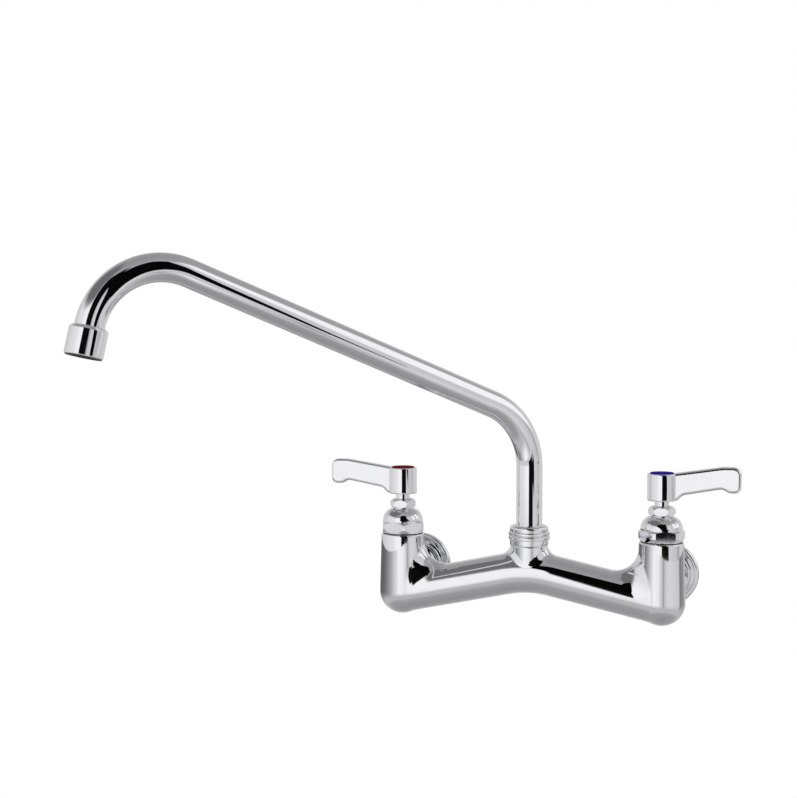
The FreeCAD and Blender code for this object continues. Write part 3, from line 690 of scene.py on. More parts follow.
def both(first, second, radius=0.0):
    """Distance to what two shapes share, with a rounded edge of the given radius."""
    inner = np.minimum(np.maximum(first + radius, second + radius), 0.0)
    outer = np.hypot(np.maximum(first + radius, 0.0), np.maximum(second + radius, 0.0))
    return inner + outer - radius


def rod(across, along, radius, low, high, rounding=0.0):
    """Distance to a round bar, from the distance to its axis and the place along it."""
    ends = np.maximum(low - along, along - high)
    return both(across - radius, ends, rounding)


def slopes(distance, points, reach=0.00002):
    """Direction in which the distance grows, at each point."""
    sides = []
    for axis in range(3):
        shift = np.zeros(3)
        shift[axis] = reach
        sides.append(distance(points + shift) - distance(points - shift))
    return np.stack(sides, axis=-1) / (2.0 * reach)


def filleted(first, second, radius, spot):
    """Distance to two joined shapes, with the fillet that a ball of the given radius leaves between them."""
    one = first(spot)
    two = second(spot)
    joined = np.minimum(one, two)
    near = (one < radius) & (two < radius)
    corner = spot[near]
    one = radius - one[near]
    two = radius - two[near]
    lean = (slopes(first, corner) * slopes(second, corner)).sum(-1)
    spread = np.maximum(1.0 - lean ** 2, 0.001)
    between = (one > lean * two) & (two > lean * one)
    ball = np.sqrt(np.maximum(one ** 2 + two ** 2 - 2.0 * lean * one * two, 0.0) / spread)
    joined[near] = np.where(between, np.minimum(radius - ball, joined[near]), joined[near])
    return joined


def crossings(values, axes, axis):
    """Grid edges along one axis that pass through the skin, and where they do."""
    near = [slice(None)] * 3
    far = [slice(None)] * 3
    near[axis] = slice(None, -1)
    far[axis] = slice(1, None)
    first = values[tuple(near)]
    second = values[tuple(far)]
    corners = np.argwhere((first < 0.0) != (second < 0.0))
    begin = first[tuple(corners.T)]
    end = second[tuple(corners.T)]
    spots = np.stack([axes[a][corners[:, a]] for a in range(3)], axis=-1)
    spots[:, axis] += (axes[axis][1] - axes[axis][0]) * begin / (begin - end)
    return corners, spots, begin < 0.0


def drawn_skin(distance, low, high, cell):
    """Closed mesh of four-sided faces on the zero level of a distance function, with its true normals."""
    axes = [np.arange(low[a], high[a] + cell, cell) for a in range(3)]
    values = distance(np.stack(np.meshgrid(*axes, indexing="ij"), axis=-1))
    counts = np.array(values.shape)
    total = np.zeros((counts.prod(), 3))
    hits = np.zeros(counts.prod())
    quads = []
    for axis in range(3):
        corners, spots, leaving = crossings(values, axes, axis)
        shifts = np.zeros((4, 3), int)
        shifts[1:3, (axis + 1) % 3] = -1
        shifts[2:4, (axis + 2) % 3] = -1
        cells = [np.ravel_multi_index((corners + shift).T, counts) for shift in shifts]
        for cell_index in cells:
            for column in range(3):
                total[:, column] += np.bincount(cell_index, spots[:, column], counts.prod())
            hits += np.bincount(cell_index, minlength=counts.prod())
        ring = np.stack(cells, axis=-1)
        ring[~leaving] = ring[~leaving][:, ::-1]
        quads.append(ring)
    used = np.flatnonzero(hits)
    renumbered = np.zeros(counts.prod(), int)
    renumbered[used] = np.arange(len(used))
    points = total[used] / hits[used][:, None]
    for _ in range(3):
        slope = slopes(distance, points)
        step = distance(points) / np.maximum((slope ** 2).sum(-1), 0.25)
        points = points - np.clip(step, -cell, cell)[:, None] * slope
    aim = slopes(distance, points)
    aim /= np.linalg.norm(aim, axis=-1)[:, None]
    mesh = bpy.data.meshes.new("skin")
    mesh.from_pydata(points.tolist(), [], renumbered[np.concatenate(quads)].tolist())
    mesh.shade_smooth()
    mesh.normals_split_custom_set_from_vertices(aim.tolist())
    return mesh


# The cast body

def from_outlet(spot):
    """Distance to the outlet's upright axis."""
    return np.hypot(spot[..., 0], spot[..., 1] - AXIS_Y)


def from_valve(spot):
    """Distance to the nearer valve's upright axis."""
    return np.hypot(np.abs(spot[..., 0]) - VALVE_X, spot[..., 1] - AXIS_Y)


def from_inlet(spot):
    """Distance to the nearer inlet's level axis."""
    return np.hypot(np.abs(spot[..., 0]) - VALVE_X, spot[..., 2])


class Casting:
    """Distance functions of the cast body."""

    def __init__(self, sizes):
        self.sizes = sizes
        self.top = high_z("body_casting")
        neck = self.top - low_z("spout_nut") + GAP
        self.arm_z = self.top - sizes.outlet_height - sizes.arm_rise - neck
        self.boss_z = self.arm_z + sizes.arm_rise
        self.slope = math.atan2(sizes.arm_rise, VALVE_X)
        self.crown_z = self.boss_z - sizes.arm_bend * (1.0 / math.cos(self.slope) - 1.0)
        self.outlet_z = self.boss_z + sizes.outlet_height
        self.rim_z = self.arm_z + sizes.column_height
        self.shank_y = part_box("body_casting")[1].y

    def arms(self, spot, radius):
        """Round bar along the two arms and the bend between them."""
        sideways = np.abs(spot[..., 0])
        height = spot[..., 2]
        bend = self.sizes.arm_bend
        inset = bend * math.tan(self.slope)
        bend_x = inset * math.cos(self.slope)
        bend_z = self.boss_z - inset * math.sin(self.slope)
        run = np.array([VALVE_X - bend_x, self.arm_z - bend_z])
        share = ((sideways - bend_x) * run[0] + (height - bend_z) * run[1]) / (run @ run)
        share = np.minimum(share, 1.0)
        straight = np.hypot(sideways - bend_x - share * run[0], height - bend_z - share * run[1])
        curved = np.abs(np.hypot(sideways, height - (self.crown_z - bend)) - bend)
        across = np.where(share < 0.0, curved, straight)
        return np.hypot(across, spot[..., 1] - AXIS_Y) - radius

    def limbs(self, spot):
        return self.arms(spot, self.sizes.arm_radius)

    def outlet(self, spot):
        radius = self.sizes.outlet_radius
        return rod(from_outlet(spot), spot[..., 2], radius, self.crown_z, self.outlet_z, EDGE)

    def column(self, spot):
        """Tapered column with a round foot, on either side."""
        sizes = self.sizes
        across = from_valve(spot)
        foot_z = self.arm_z + sizes.foot_rise
        rise = spot[..., 2] - foot_z
        taper = (sizes.column_rim - sizes.column_foot) / (self.rim_z - foot_z)
        side = (across - sizes.column_foot - taper * rise) * math.cos(math.atan(taper))
        foot = np.hypot(across, rise) - sizes.column_foot
        return both(np.where(rise > 0.0, side, foot), spot[..., 2] - self.rim_z, RIM_EDGE)

    def boss(self, spot):
        radius = self.sizes.boss_radius
        return rod(from_inlet(spot), spot[..., 1], radius, AXIS_Y, self.shank_y - SHANK_LENGTH)

    def skin(self, spot):
        sizes = self.sizes
        return np.minimum.reduce([
            filleted(self.limbs, self.outlet, sizes.outlet_fillet, spot),
            filleted(self.limbs, self.column, sizes.arm_fillet, spot),
            filleted(self.limbs, self.boss, sizes.boss_fillet, spot),
            filleted(self.column, self.boss, sizes.boss_fillet, spot),
            rod(from_outlet(spot), spot[..., 2], sizes.neck_radius, self.outlet_z - OVERLAP, self.top),
            rod(from_inlet(spot), spot[..., 1], sizes.shank_radius, AXIS_Y, self.shank_y, FINE_EDGE),
        ])

    def cores(self, spot):
        """Waterways, valve chambers and the outlet's socket."""
        sizes = self.sizes
        middle = from_outlet(spot)
        across = from_valve(spot)
        height = spot[..., 2]
        socket_z = low_z("spout_sleeve") - SLEEVE_ROOM
        chamber_z = self.arm_z + sizes.arm_bore + CHAMBER_FLOOR
        thread_z = low_z("hot_bonnet") - OVERLAP
        return np.minimum.reduce([
            self.arms(spot, sizes.arm_bore),
            rod(middle, height, sizes.arm_bore, self.crown_z, socket_z + OVERLAP),
            rod(middle, height, sizes.socket_radius, socket_z, self.outlet_z + 0.02),
            rod(across, height, SEAT_BORE, self.arm_z, chamber_z + OVERLAP),
            rod(across, height, sizes.chamber_radius, chamber_z, self.rim_z + OVERLAP),
            rod(across, height, THREAD_BORE, thread_z, self.rim_z + OVERLAP),
            rod(from_inlet(spot), spot[..., 1], INLET_BORE, AXIS_Y + 0.005, 0.0),
        ])

    def distance(self, spot):
        return np.maximum(self.skin(spot), -self.cores(spot))


class TAP_OT_casting(bpy.types.Operator):
    """Makes the cast body with its two columns, arms, bosses and waterways"""
    bl_idname = "tap.casting"
    bl_label = "Casting"

    def execute(self, context):
        sizes = context.scene.tap_casting
        low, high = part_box("body_casting")
        margin = Vector((2.0 * sizes.cell,) * 3)
        mesh = drawn_skin(Casting(sizes).distance, low - margin, high + margin, sizes.cell)
        finished("tap_casting", mesh, Matrix(), "tap_body", "body_casting", "chrome")
        return {"FINISHED"}


# Valves and wall flanges

class TAP_OT_valves(bpy.types.Operator):
    """Makes the bonnets, packing nuts, coupling nuts and wall flanges"""
    bl_idname = "tap.valves"
    bl_label = "Valves"

    def execute(self, context):
        sizes = context.scene.tap_valves
        outwards = Matrix.Rotation(math.pi / 2.0, 4, "X")
        for side in SIDES:
            upright = Matrix.Translation(valve_place(side))
            level = Matrix.Translation((SIDES[side] * VALVE_X, 0.0, 0.0)) @ outwards
            self.bonnet(sizes, side, upright)
            self.packing_nut(sizes, side, upright)
            self.flange(sizes, side, level)
            self.coupling_nut(sizes, side, level)
        return {"FINISHED"}

    def bonnet(self, sizes, side, place):
        foot = low_z(side + "_bonnet")
        seat = high_z(side + "_bonnet_gasket")
        top = high_z(side + "_bonnet")
        packing = low_z(side + "_packing_ring")
        band = seat + sizes.bonnet_band
        start = sizes.bonnet_corner - 0.0017
        stem = sizes.stem_radius + GAP
        corners = [
            (BONNET_BORE, foot), (BONNET_THREAD, foot, EDGE), (BONNET_THREAD, seat),
            (sizes.bonnet_foot, seat, 0.0002), (sizes.bonnet_corner, seat + 0.003, EDGE),
            (sizes.bonnet_corner, band, EDGE), (start, band + 0.0012), (start, top, sizes.dome_radius),
            (PACKING_BORE, top), (PACKING_BORE, packing), (stem, packing),
            (stem, foot + BONNET_ROOM), (BONNET_BORE, foot + BONNET_ROOM),
        ]
        turn = getattr(sizes, side + "_turn")
        plated_turning(side + "_valve_bonnet", corners, place, "tap_body", side + "_bonnet",
                       sizes.bonnet_flats, turn)

    def packing_nut(self, sizes, side, place):
        foot = low_z(side + "_packing_nut")
        seat = high_z(side + "_bonnet") + GAP
        top = high_z(side + "_packing_nut")
        bore = sizes.stem_radius + 2.0 * GAP
        corner = corner_radius(sizes.nut_flats)
        corners = [
            (bore, foot), (NUT_PLUG, foot), (NUT_PLUG, seat), (NUT_FOOT, seat),
            (corner, seat + 0.0017, FINE_EDGE), (corner, top - 0.0022, 0.0014),
            (corner - 0.0022, top, 0.0014), (bore + 0.0012, top), (bore, top - 0.0012),
        ]
        plated_turning(side + "_gland_nut", corners, place, "tap_body", side + "_packing_nut",
                       sizes.nut_flats)

    def flange(self, sizes, side, place):
        face = -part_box(side + "_inlet")[0].y
        collar = face - TAIL_COLLAR_HEIGHT
        corners = [(PIPE_BORE, 0.0)]
        corners += [(sizes.flange_radius - inwards, height, edge) for inwards, height, edge in FLANGE_RIM]
        corners += FLANGE_STEPS
        corners += [
            (TAIL_RADIUS, FLANGE_STEPS[-1][1]), (TAIL_RADIUS, collar), (TAIL_COLLAR, collar),
            (TAIL_COLLAR, face), (INLET_BORE, face), (INLET_BORE, PIPE_DEPTH), (PIPE_BORE, PIPE_DEPTH),
        ]
        plated_turning(side + "_wall_flange", corners, place, "tap_body", side + "_inlet")

    def coupling_nut(self, sizes, side, place):
        far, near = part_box(side + "_coupling_nut")
        low = -near.y
        high = -far.y
        corner = corner_radius(sizes.coupling_flats)
        bevel = corner - sizes.coupling_flats / 2.0
        corners = [
            (COUPLING_COLLAR, low), (corner - bevel, low), (corner, low + bevel, 0.0006),
            (corner, high - bevel, 0.0006), (corner - bevel, high), (COUPLING_THREAD, high),
            (COUPLING_THREAD, low + COUPLING_FLOOR), (COUPLING_COLLAR, low + COUPLING_FLOOR),
        ]
        plated_turning(side + "_union_nut", corners, place, "tap_body", side + "_coupling_nut",
                       sizes.coupling_flats)


# Lever handles and index buttons

class Lever:
    """Distance functions of a handle, built on its stem's axis and pointing along +X."""

    def __init__(self, sizes, side):
        self.sizes = sizes
        self.low = low_z(side + "_lever_handle")
        self.top = high_z(side + "_index_button") - 0.0009
        self.pocket = low_z(side + "_index_button")
        self.web = high_z(side + "_stem") + GAP
        self.inside = sizes.hub_radius - ROOT_DEPTH
        self.profile = self.blade_outline()

    def blade_outline(self):
        """Side view of the blade: crest, rounded tip, small toe and the long hollow under it."""
        sizes = self.sizes
        crest = self.top + sizes.lift
        toe = crest - sizes.tip_depth
        arch = toe + TOE_STEP
        heel = sizes.reach - TOE_LENGTH
        foot = self.low + 0.0005
        return Outline([
            (self.inside, self.top - 0.0006), (heel - 0.0038, crest, 0.025), (sizes.reach, crest, 0.006),
            (sizes.reach - 0.0003, toe, 0.005), (heel, toe + 0.0003, 0.0055),
            (heel - 0.004, arch + 0.0003, 0.007),
            (sizes.hub_radius + HOLLOW_ROOT[0], self.top - HOLLOW_ROOT[1], 0.006),
            (sizes.hub_radius + 0.0005, foot), (self.inside, foot),
        ], 12)

    def blade(self, spot):
        sizes = self.sizes
        along = spot[..., 0]
        height = spot[..., 2]
        nearest = np.full(along.shape, 1.0)
        crossed = np.zeros(along.shape, bool)
        for begin, end, _, _ in self.profile.spans:
            run = end - begin
            share = ((along - begin[0]) * run[0] + (height - begin[1]) * run[1]) / (run @ run)
            share = np.clip(share, 0.0, 1.0)
            gap = np.hypot(along - begin[0] - share * run[0], height - begin[1] - share * run[1])
            nearest = np.minimum(nearest, gap)
            if begin[1] != end[1]:
                level = begin[0] + run[0] * (height - begin[1]) / run[1]
                crossed ^= ((begin[1] > height) != (end[1] > height)) & (along < level)
        side_view = np.where(crossed, -nearest, nearest)
        share = np.clip((along - self.inside) / (sizes.reach - self.inside), 0.0, 1.0)
        half = (sizes.root_width + (sizes.tip_width - sizes.root_width) * share) / 2.0
        return both(side_view, np.abs(spot[..., 1]) - half, sizes.edge)

    def distance(self, spot):
        """Hub and blade, less the hollows for the index button, the handle screw and the stem's end."""
        sizes = self.sizes
        height = spot[..., 2]
        across = np.hypot(spot[..., 0], spot[..., 1])
        hub = rod(across, height, sizes.hub_radius, self.low, self.top, BROAD_EDGE)
        pocket = rod(across, height, sizes.button_radius + GAP, self.pocket, self.top + 0.01)
        recess_radius, recess_rise = SCREW_RECESS
        recess = rod(across, height, recess_radius, self.web + recess_rise, self.pocket + OVERLAP)
        square = np.maximum(np.abs(spot[..., 0]), np.abs(spot[..., 1])) - SQUARE_HALF
        socket = both(square, np.maximum(self.low - OVERLAP - height, height - self.web))
        screw = rod(across, height, SCREW_BORE, self.web - OVERLAP, self.web + 0.003)
        hollows = np.minimum.reduce([pocket, recess, socket, screw])
        return np.maximum(np.minimum(hub, self.blade(spot)), -hollows)


class TAP_OT_handles(bpy.types.Operator):
    """Makes the two lever handles and their index buttons"""
    bl_idname = "tap.handles"
    bl_label = "Handles"

    def execute(self, context):
        sizes = context.scene.tap_handles
        margin = 2.0 * sizes.cell
        for side, slot in (("hot", "red_index"), ("cold", "blue_index")):
            lever = Lever(sizes, side)
            reach = sizes.hub_radius + margin
            low = Vector((-reach, -reach, lever.low - margin))
            high = Vector((sizes.reach + margin, reach, lever.top + sizes.lift + margin))
            place = Matrix.Translation(valve_place(side))
            spin = Matrix.Rotation(getattr(sizes, side + "_turn"), 4, "Z")
            mesh = drawn_skin(lever.distance, low, high, sizes.cell)
            body = side + "_handle"
            finished(side + "_lever", mesh, place @ spin, body, side + "_lever_handle", "chrome")
            mesh = self.button(sizes, side + "_index_button")
            finished(side + "_index", mesh, place, body, side + "_index_button", slot)
        return {"FINISHED"}

    def button(self, sizes, node):
        low = low_z(node)
        high = high_z(node)
        radius = sizes.button_radius
        corners = [(0.0, low), (radius, low, 0.0002), (radius, high, BROAD_EDGE), (0.0, high)]
        return turned_mesh(corners, sizes.button_sides)


# The spout tube, a pipe along a path of straight runs and bends

def tube_corners(sizes):
    """Corners of the tube's path in its own upright plane, the outlet's axis at zero."""
    start = Vector((0.0, 0.0, low_z("spout_tube")))
    upright_end = high_z("spout_nut") + sizes.upright
    slope = Vector((math.cos(sizes.incline), 0.0, math.sin(sizes.incline)))
    quarter = math.pi / 2.0 - sizes.incline
    lower_inset = sizes.lower_bend * math.tan(quarter / 2.0)
    lower = Vector((0.0, 0.0, upright_end + lower_inset))
    turn = math.pi / 2.0 + sizes.incline - sizes.tip_tilt
    upper_inset = sizes.upper_bend * math.tan(turn / 2.0)
    upper = lower + slope * (lower_inset + sizes.run + upper_inset)
    fall = Vector((math.sin(sizes.tip_tilt), 0.0, -math.cos(sizes.tip_tilt)))
    tip = upper + fall * upper_inset
    return start, lower, upper, tip, fall


def build_tube_tree():
    """Geometry Nodes tree that bends a pipe through two rounded corners."""
    tree = bpy.data.node_groups.new("bent_pipe", "GeometryNodeTree")
    for kind, names in TUBE_INPUTS.items():
        for name in names:
            tree.interface.new_socket(name, in_out="INPUT", socket_type="NodeSocket" + kind)
    tree.interface.new_socket("Geometry", in_out="OUTPUT", socket_type="NodeSocketGeometry")

    def add(kind, settings=None, inputs=None):
        node = tree.nodes.new(kind)
        for name, value in (settings or {}).items():
            setattr(node, name, value)
        for name, value in (inputs or {}).items():
            if isinstance(value, bpy.types.NodeSocket):
                tree.links.new(value, node.inputs[name])
            else:
                node.inputs[name].default_value = value
        return node.outputs[0] if node.outputs else None

    given = tree.nodes.new("NodeGroupInput").outputs
    index = add("GeometryNodeInputIndex")

    def by_corner(kind, names):
        """Value of each of the path's four points, by its number."""
        switch = tree.nodes.new("GeometryNodeIndexSwitch")
        switch.data_type = kind
        while len(switch.index_switch_items) < 4:
            switch.index_switch_items.new()
        tree.links.new(index, switch.inputs["Index"])
        for number, name in names.items():
            tree.links.new(given[name], switch.inputs[1 + number])
        return switch.outputs[0]

    places = by_corner("VECTOR", dict(enumerate(TUBE_INPUTS["Vector"])))
    bends = by_corner("FLOAT", {1: "Lower bend", 2: "Upper bend"})
    line = add("GeometryNodeMeshLine", inputs={"Count": 4})
    placed = add("GeometryNodeSetPosition", inputs={"Geometry": line, "Position": places})
    path = add("GeometryNodeMeshToCurve", inputs={0: placed})
    smooth = add("GeometryNodeFilletCurve", {"mode": "POLY"},
                 {"Curve": path, "Count": given["Bend steps"], "Radius": bends})
    bore = add("ShaderNodeMath", {"operation": "SUBTRACT"}, {0: given["Radius"], 1: given["Wall"]})
    join = tree.nodes.new("GeometryNodeJoinGeometry")
    for radius, inward in ((given["Radius"], False), (bore, True)):
        section = add("GeometryNodeCurvePrimitiveCircle", {"mode": "RADIUS"},
                      {"Resolution": given["Sides"], "Radius": radius})
        skin = add("GeometryNodeCurveToMesh", inputs={"Curve": smooth, "Profile Curve": section})
        if inward:
            skin = add("GeometryNodeFlipFaces", inputs={"Mesh": skin})
        tree.links.new(skin, join.inputs[0])
    real = add("GeometryNodeRealizeInstances", inputs={"Geometry": join.outputs[0]})
    done = add("GeometryNodeSetMaterial", inputs={"Geometry": real, "Material": given["Material"]})
    add("NodeGroupOutput", inputs={"Geometry": done})
    return tree


def run_tree(tree, values):
    """Evaluates a Geometry Nodes tree with the given inputs and returns a plain mesh."""
    holder = bpy.data.objects.new("holder", bpy.data.meshes.new("holder"))
    bpy.context.scene.collection.objects.link(holder)
    modifier = holder.modifiers.new("nodes", "NODES")
    modifier.node_group = tree
    for item in tree.interface.items_tree:
        if item.in_out == "INPUT":
            modifier[item.identifier] = values[item.name]
    graph = bpy.context.evaluated_depsgraph_get()
    mesh = bpy.data.meshes.new_from_object(holder.evaluated_get(graph))
    holder.modifiers.clear()
    bpy.data.objects.remove(holder)
    return mesh


def close_ends(mesh):
    """Joins the outer and inner skin at both ends."""
    solid = bmesh.new()
    solid.from_mesh(mesh)
    bmesh.ops.remove_doubles(solid, verts=solid.verts, dist=TINY)
    open_edges = [edge for edge in solid.edges if edge.is_boundary]
    heights = sorted(edge.verts[0].co.z for edge in open_edges)
    split = (heights[0] + heights[-1]) / 2.0
    for low_end in (True, False):
        rim = [edge for edge in open_edges if (edge.verts[0].co.z < split) == low_end]
        bmesh.ops.bridge_loops(solid, edges=rim)
    solid.to_mesh(mesh)
    solid.free()
    mesh.shade_smooth()
    mesh.set_sharp_from_angle(angle=math.radians(40.0))


class TAP_OT_spout(bpy.types.Operator):
    """Makes the spout's bent tube, its nut and its ferrule"""
    bl_idname = "tap.spout"
    bl_label = "Spout"

    def execute(self, context):
        sizes = context.scene.tap_spout
        place = Matrix.Translation((0.0, AXIS_Y, 0.0))
        swung = place @ Matrix.Rotation(sizes.swing, 4, "Z")
        start, lower, upper, tip, fall = tube_corners(sizes)
        mesh = run_tree(build_tube_tree(), {
            "Start": start, "Lower corner": lower, "Upper corner": upper,
            "End": tip + fall * sizes.socket, "Radius": sizes.tube_radius, "Wall": sizes.wall,
            "Lower bend": sizes.lower_bend, "Upper bend": sizes.upper_bend,
            "Sides": sizes.sides, "Bend steps": sizes.bend_steps, "Material": material("chrome"),
        })
        close_ends(mesh)
        finished("spout_pipe", mesh, swung, "spout", "spout_tube", "chrome")
        tilt = Matrix.Translation(tip) @ Matrix.Rotation(-sizes.tip_tilt, 4, "Y")
        self.nut(sizes, context.scene.tap_casting.neck_radius + GAP, place)
        self.ferrule(sizes, swung @ tilt)
        return {"FINISHED"}

    def nut(self, sizes, bore, place):
        low = low_z("spout_nut")
        high = high_z("spout_nut")
        mouth = sizes.tube_radius + 0.0003
        roof = high_z("spout_sleeve") + GAP
        crest = sizes.nut_radius + sizes.ridge_rise
        corners = [(bore, low), (sizes.nut_radius, low, EDGE)]
        ridge = low + RIDGE_START
        for _ in range(2):
            after = ridge + sizes.ridge_width
            corners += [(sizes.nut_radius, ridge), (crest, ridge, RIDGE_EDGE)]
            corners += [(crest, after, RIDGE_EDGE), (sizes.nut_radius, after)]
            ridge = after + RIDGE_GAP
        corners += [(sizes.nut_radius, high, 0.0024), (mouth, high, EDGE), (mouth, roof), (bore, roof)]
        plated_turning("spout_nut_ring", corners, place, "tap_body", "spout_nut")

    def ferrule(self, sizes, place):
        """Ferrule that hangs from the tip, its upper edge at zero."""
        socket = sizes.tube_radius + 0.00002
        bore = sizes.tube_radius - sizes.wall
        tip = -sizes.ferrule_length
        floor = tip + 0.009
        step = -sizes.socket - GAP
        corners = [
            (socket, 0.0), (sizes.tube_radius + 0.0008, 0.0), (sizes.ferrule_radius, -0.002, BROAD_EDGE),
            (sizes.ferrule_radius, tip, BROAD_EDGE), (sizes.mouth_radius, tip, FINE_EDGE),
            (sizes.mouth_radius, floor), (bore, floor), (bore, step), (socket, step),
        ]
        plated_turning("tip_ferrule", corners, place, "spout", "ferrule")


class TAP_OT_finishes(bpy.types.Operator):
    """Gives every CAD node its own material"""
    bl_idname = "tap.finishes"
    bl_label = "Finishes"

    def execute(self, context):
        slots = {part["node"]: part["material_slot"] for part in frame["record"]["subparts"]}
        for name, node in frame["nodes"].items():
            node.data.materials.clear()
            node.data.materials.append(material(slots[name]))
        return {"FINISHED"}


# The studio

def direction(azimuth, elevation=0.0):
    """Unit vector towards an azimuth, counted to the right from the camera, and an elevation, in degrees."""
    studio = bpy.context.scene.tap_studio
    view = Vector(studio.camera) - Vector(studio.target)
    turn = math.atan2(view.y, view.x) + math.radians(azimuth)
    rise = math.radians(elevation)
    return Vector((math.cos(turn) * math.cos(rise), math.sin(turn) * math.cos(rise), math.sin(rise)))


def azimuth_of(across, along):
    """Azimuth of a place or way, in degrees to the right of the camera's side."""
    ahead = direction(0.0)
    forward = across * ahead.x + along * ahead.y
    sideways = along * ahead.x - across * ahead.y
    return sideways.maths("ARCTAN2", sideways, forward) * math.degrees(1.0)


def soft_lamp(name, azimuth, elevation):
    """Wide soft lamp that faces the tap. It lights matt pieces, and metal doesn't mirror it."""
    lamp = bpy.data.lights.new(name, "AREA")
    lamp.shape = "SQUARE"
    lamp.size = LAMP_SIZE
    lamp.energy = bpy.context.scene.tap_studio.lamp_level * 4.0 * LAMP_SIZE ** 2
    holder = bpy.data.objects.new(name, lamp)
    towards = direction(azimuth, elevation)
    holder.location = Vector((0.0, AXIS_Y, LAMP_AIM)) + towards * LAMP_DISTANCE
    holder.rotation_euler = towards.to_track_quat("Z", "Y").to_euler()
    holder.visible_glossy = False
    bpy.context.scene.collection.objects.link(holder)


def room_world():
    """Room around the tap: white to the camera, and in the chrome graded walls with pale and dark panels."""
    world = bpy.data.worlds.new("room")
    world.use_nodes = True
    world.node_tree.nodes.clear()
    shade = Shade(world.node_tree)
    across, along, up = shade.parts("Generated")
    azimuth = azimuth_of(across, along)
    elevation = up.maths("ARCSINE", up) * math.degrees(1.0)
    level = elevation.graded(ROOM_LEVELS)
    for azimuths, elevations, (side_edge, low_edge, high_edge), levels in PANELS:
        inside = azimuth.between(*azimuths, side_edge, side_edge)
        inside = inside * elevation.between(*elevations, low_edge, high_edge)
        level = level + inside * (azimuth.graded(levels) - level)
    seen = shade.node("ShaderNodeLightPath", output="Is Camera Ray")
    background = shade.node("ShaderNodeBackground", inputs={"Color": level + seen * (1.0 - level)})
    shade.node("ShaderNodeOutputWorld", inputs={"Surface": background})
    bpy.context.scene.world = world


def empty_surface(name):
    """Material with no nodes yet, and a shade to build them with."""
    surface = bpy.data.materials.new(name)
    surface.use_nodes = True
    surface.node_tree.nodes.clear()
    return surface, Shade(surface.node_tree)


def stage_prop(name, corners, faces, surface, only_mirrored=True):
    """Floor, screen or flag. One that is only mirrored is out of the camera's sight and out of the light."""
    mesh = bpy.data.meshes.new(name)
    mesh.from_pydata(corners, [], faces)
    mesh.materials.append(surface)
    prop = bpy.data.objects.new(name, mesh)
    bpy.context.scene.collection.objects.link(prop)
    if only_mirrored:
        prop.visible_camera = False
        prop.visible_diffuse = False
        prop.visible_shadow = False


def pale_floor(studio):
    """Wide pale floor, white to the camera. The chrome mirrors the room's lower half in its place."""
    surface, shade = empty_surface("pale_floor")
    seen = shade.node("ShaderNodeLightPath", output="Is Camera Ray")
    mirrored = shade.node("ShaderNodeLightPath", output="Is Glossy Ray")
    glow = shade.node("ShaderNodeEmission", inputs={"Color": (1.0, 1.0, 1.0, 1.0)})
    clear = shade.node("ShaderNodeBsdfTransparent")
    matt = shade.node("ShaderNodeBsdfDiffuse", inputs={"Color": (0.8, 0.8, 0.8, 1.0)})
    lit = shade.node("ShaderNodeMixShader", inputs={0: seen, 1: matt, 2: glow})
    mixed = shade.node("ShaderNodeMixShader", inputs={0: mirrored, 1: lit, 2: clear})
    shade.node("ShaderNodeOutputMaterial", inputs={"Surface": mixed})
    size = studio.floor_size
    drop = -studio.floor_drop
    corners = [(-size, -size, drop), (size, -size, drop), (size, size, drop), (-size, size, drop)]
    stage_prop("floor", corners, [(0, 1, 2, 3)], surface, only_mirrored=False)


def low_screen(studio):
    """Round screen that stands on the floor and glows, graded from side to side. Only the chrome's
    reflections show its glow.
    """
    surface, shade = empty_surface("graded_paper")
    across, along, height = shade.parts("Object")
    levels = azimuth_of(across, along - AXIS_Y).graded(SCREEN_LEVELS)
    level = SCREEN_FOOT_LEVEL + height.step(*SCREEN_FADE) * (levels - SCREEN_FOOT_LEVEL)
    # A glow, not lit paper: an emission graded by azimuth and faded towards the floor, seen only as a
    # reflection in the chrome.
    glow = shade.node("ShaderNodeEmission", inputs={"Color": level})
    shade.node("ShaderNodeOutputMaterial", inputs={"Surface": glow})
    corners = []
    for foot_or_top in (-studio.floor_drop, SCREEN_TOP):
        for step in range(SCREEN_STEPS):
            way = direction(360.0 * step / SCREEN_STEPS)
            corners.append(Vector((0.0, AXIS_Y, foot_or_top)) + way * SCREEN_RADIUS)
    faces = []
    for step in range(SCREEN_STEPS):
        after = (step + 1) % SCREEN_STEPS
        faces.append((step, after, SCREEN_STEPS + after, SCREEN_STEPS + step))
    stage_prop("low_screen", corners, faces, surface)


def dark_flag():
    """Black flag between the camera and the tap. Only the chrome mirrors it."""
    velvet = Finish("black_velvet", Base_Color=FLAG_BLACK, Specular_IOR_Level=0.0, Roughness=1.0)
    centre = Vector((0.0, AXIS_Y, 0.0)) + direction(0.0) * FLAG_DISTANCE
    right = direction(90.0)
    corners = [centre + right * across + Vector((0.0, 0.0, height)) for across, height in FLAG_OUTLINE]
    stage_prop("dark_flag", corners, [list(range(len(corners)))], velvet.material)


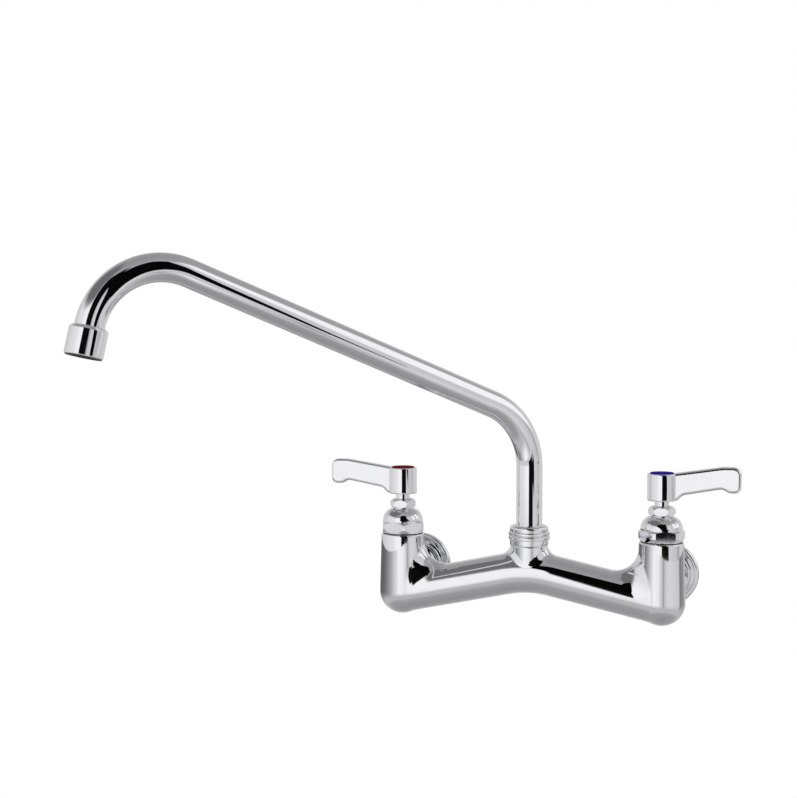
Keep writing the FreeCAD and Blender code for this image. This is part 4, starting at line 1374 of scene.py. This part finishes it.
class TAP_OT_stage(bpy.types.Operator):
    """Sets the camera, the lamps, the room, the floor, and the flag and screen that the chrome mirrors"""
    bl_idname = "tap.stage"
    bl_label = "Studio"

    def execute(self, context):
        scene = context.scene
        studio = scene.tap_studio
        camera = bpy.data.cameras.new("camera")
        camera.lens = studio.lens
        camera.sensor_width = 36.0
        holder = bpy.data.objects.new("camera", camera)
        holder.location = studio.camera
        view = Vector(studio.target) - Vector(studio.camera)
        holder.rotation_euler = view.to_track_quat("-Z", "Y").to_euler()
        scene.collection.objects.link(holder)
        scene.camera = holder
        for name, (azimuth, elevation) in LAMPS.items():
            soft_lamp(name, azimuth, elevation)
        room_world()
        pale_floor(studio)
        dark_flag()
        low_screen(studio)
        scene.view_settings.view_transform = "Standard"
        return {"FINISHED"}


class TAP_PT_panel(bpy.types.Panel):
    """Lists the tap's pieces and the studio"""
    bl_label = "Wall-mounted tap"
    bl_idname = "TAP_PT_panel"
    bl_space_type = "VIEW_3D"
    bl_region_type = "UI"
    bl_category = "Tap"

    def draw(self, context):
        for name in OPERATORS:
            self.layout.operator("tap." + name)


OPERATORS = ["finishes", "casting", "valves", "handles", "spout", "stage"]
SETTINGS = {
    "tap_casting": TapCastingSizes,
    "tap_valves": TapValveSizes,
    "tap_handles": TapHandleSizes,
    "tap_spout": TapSpoutSizes,
    "tap_finishes": TapFinishes,
    "tap_studio": TapStudio,
}
CLASSES = [
    *SETTINGS.values(), TAP_OT_finishes, TAP_OT_casting, TAP_OT_valves, TAP_OT_handles,
    TAP_OT_spout, TAP_OT_stage, TAP_PT_panel,
]


def register():
    for item in CLASSES:
        bpy.utils.register_class(item)
    for name, group in SETTINGS.items():
        setattr(bpy.types.Scene, name, PointerProperty(type=group))


def unregister():
    for name in SETTINGS:
        delattr(bpy.types.Scene, name)
    for item in reversed(CLASSES):
        bpy.utils.unregister_class(item)


def main():
    register()
    for name in OPERATORS:
        getattr(bpy.ops.tap, name)()


if __name__ == "__main__":
    main()
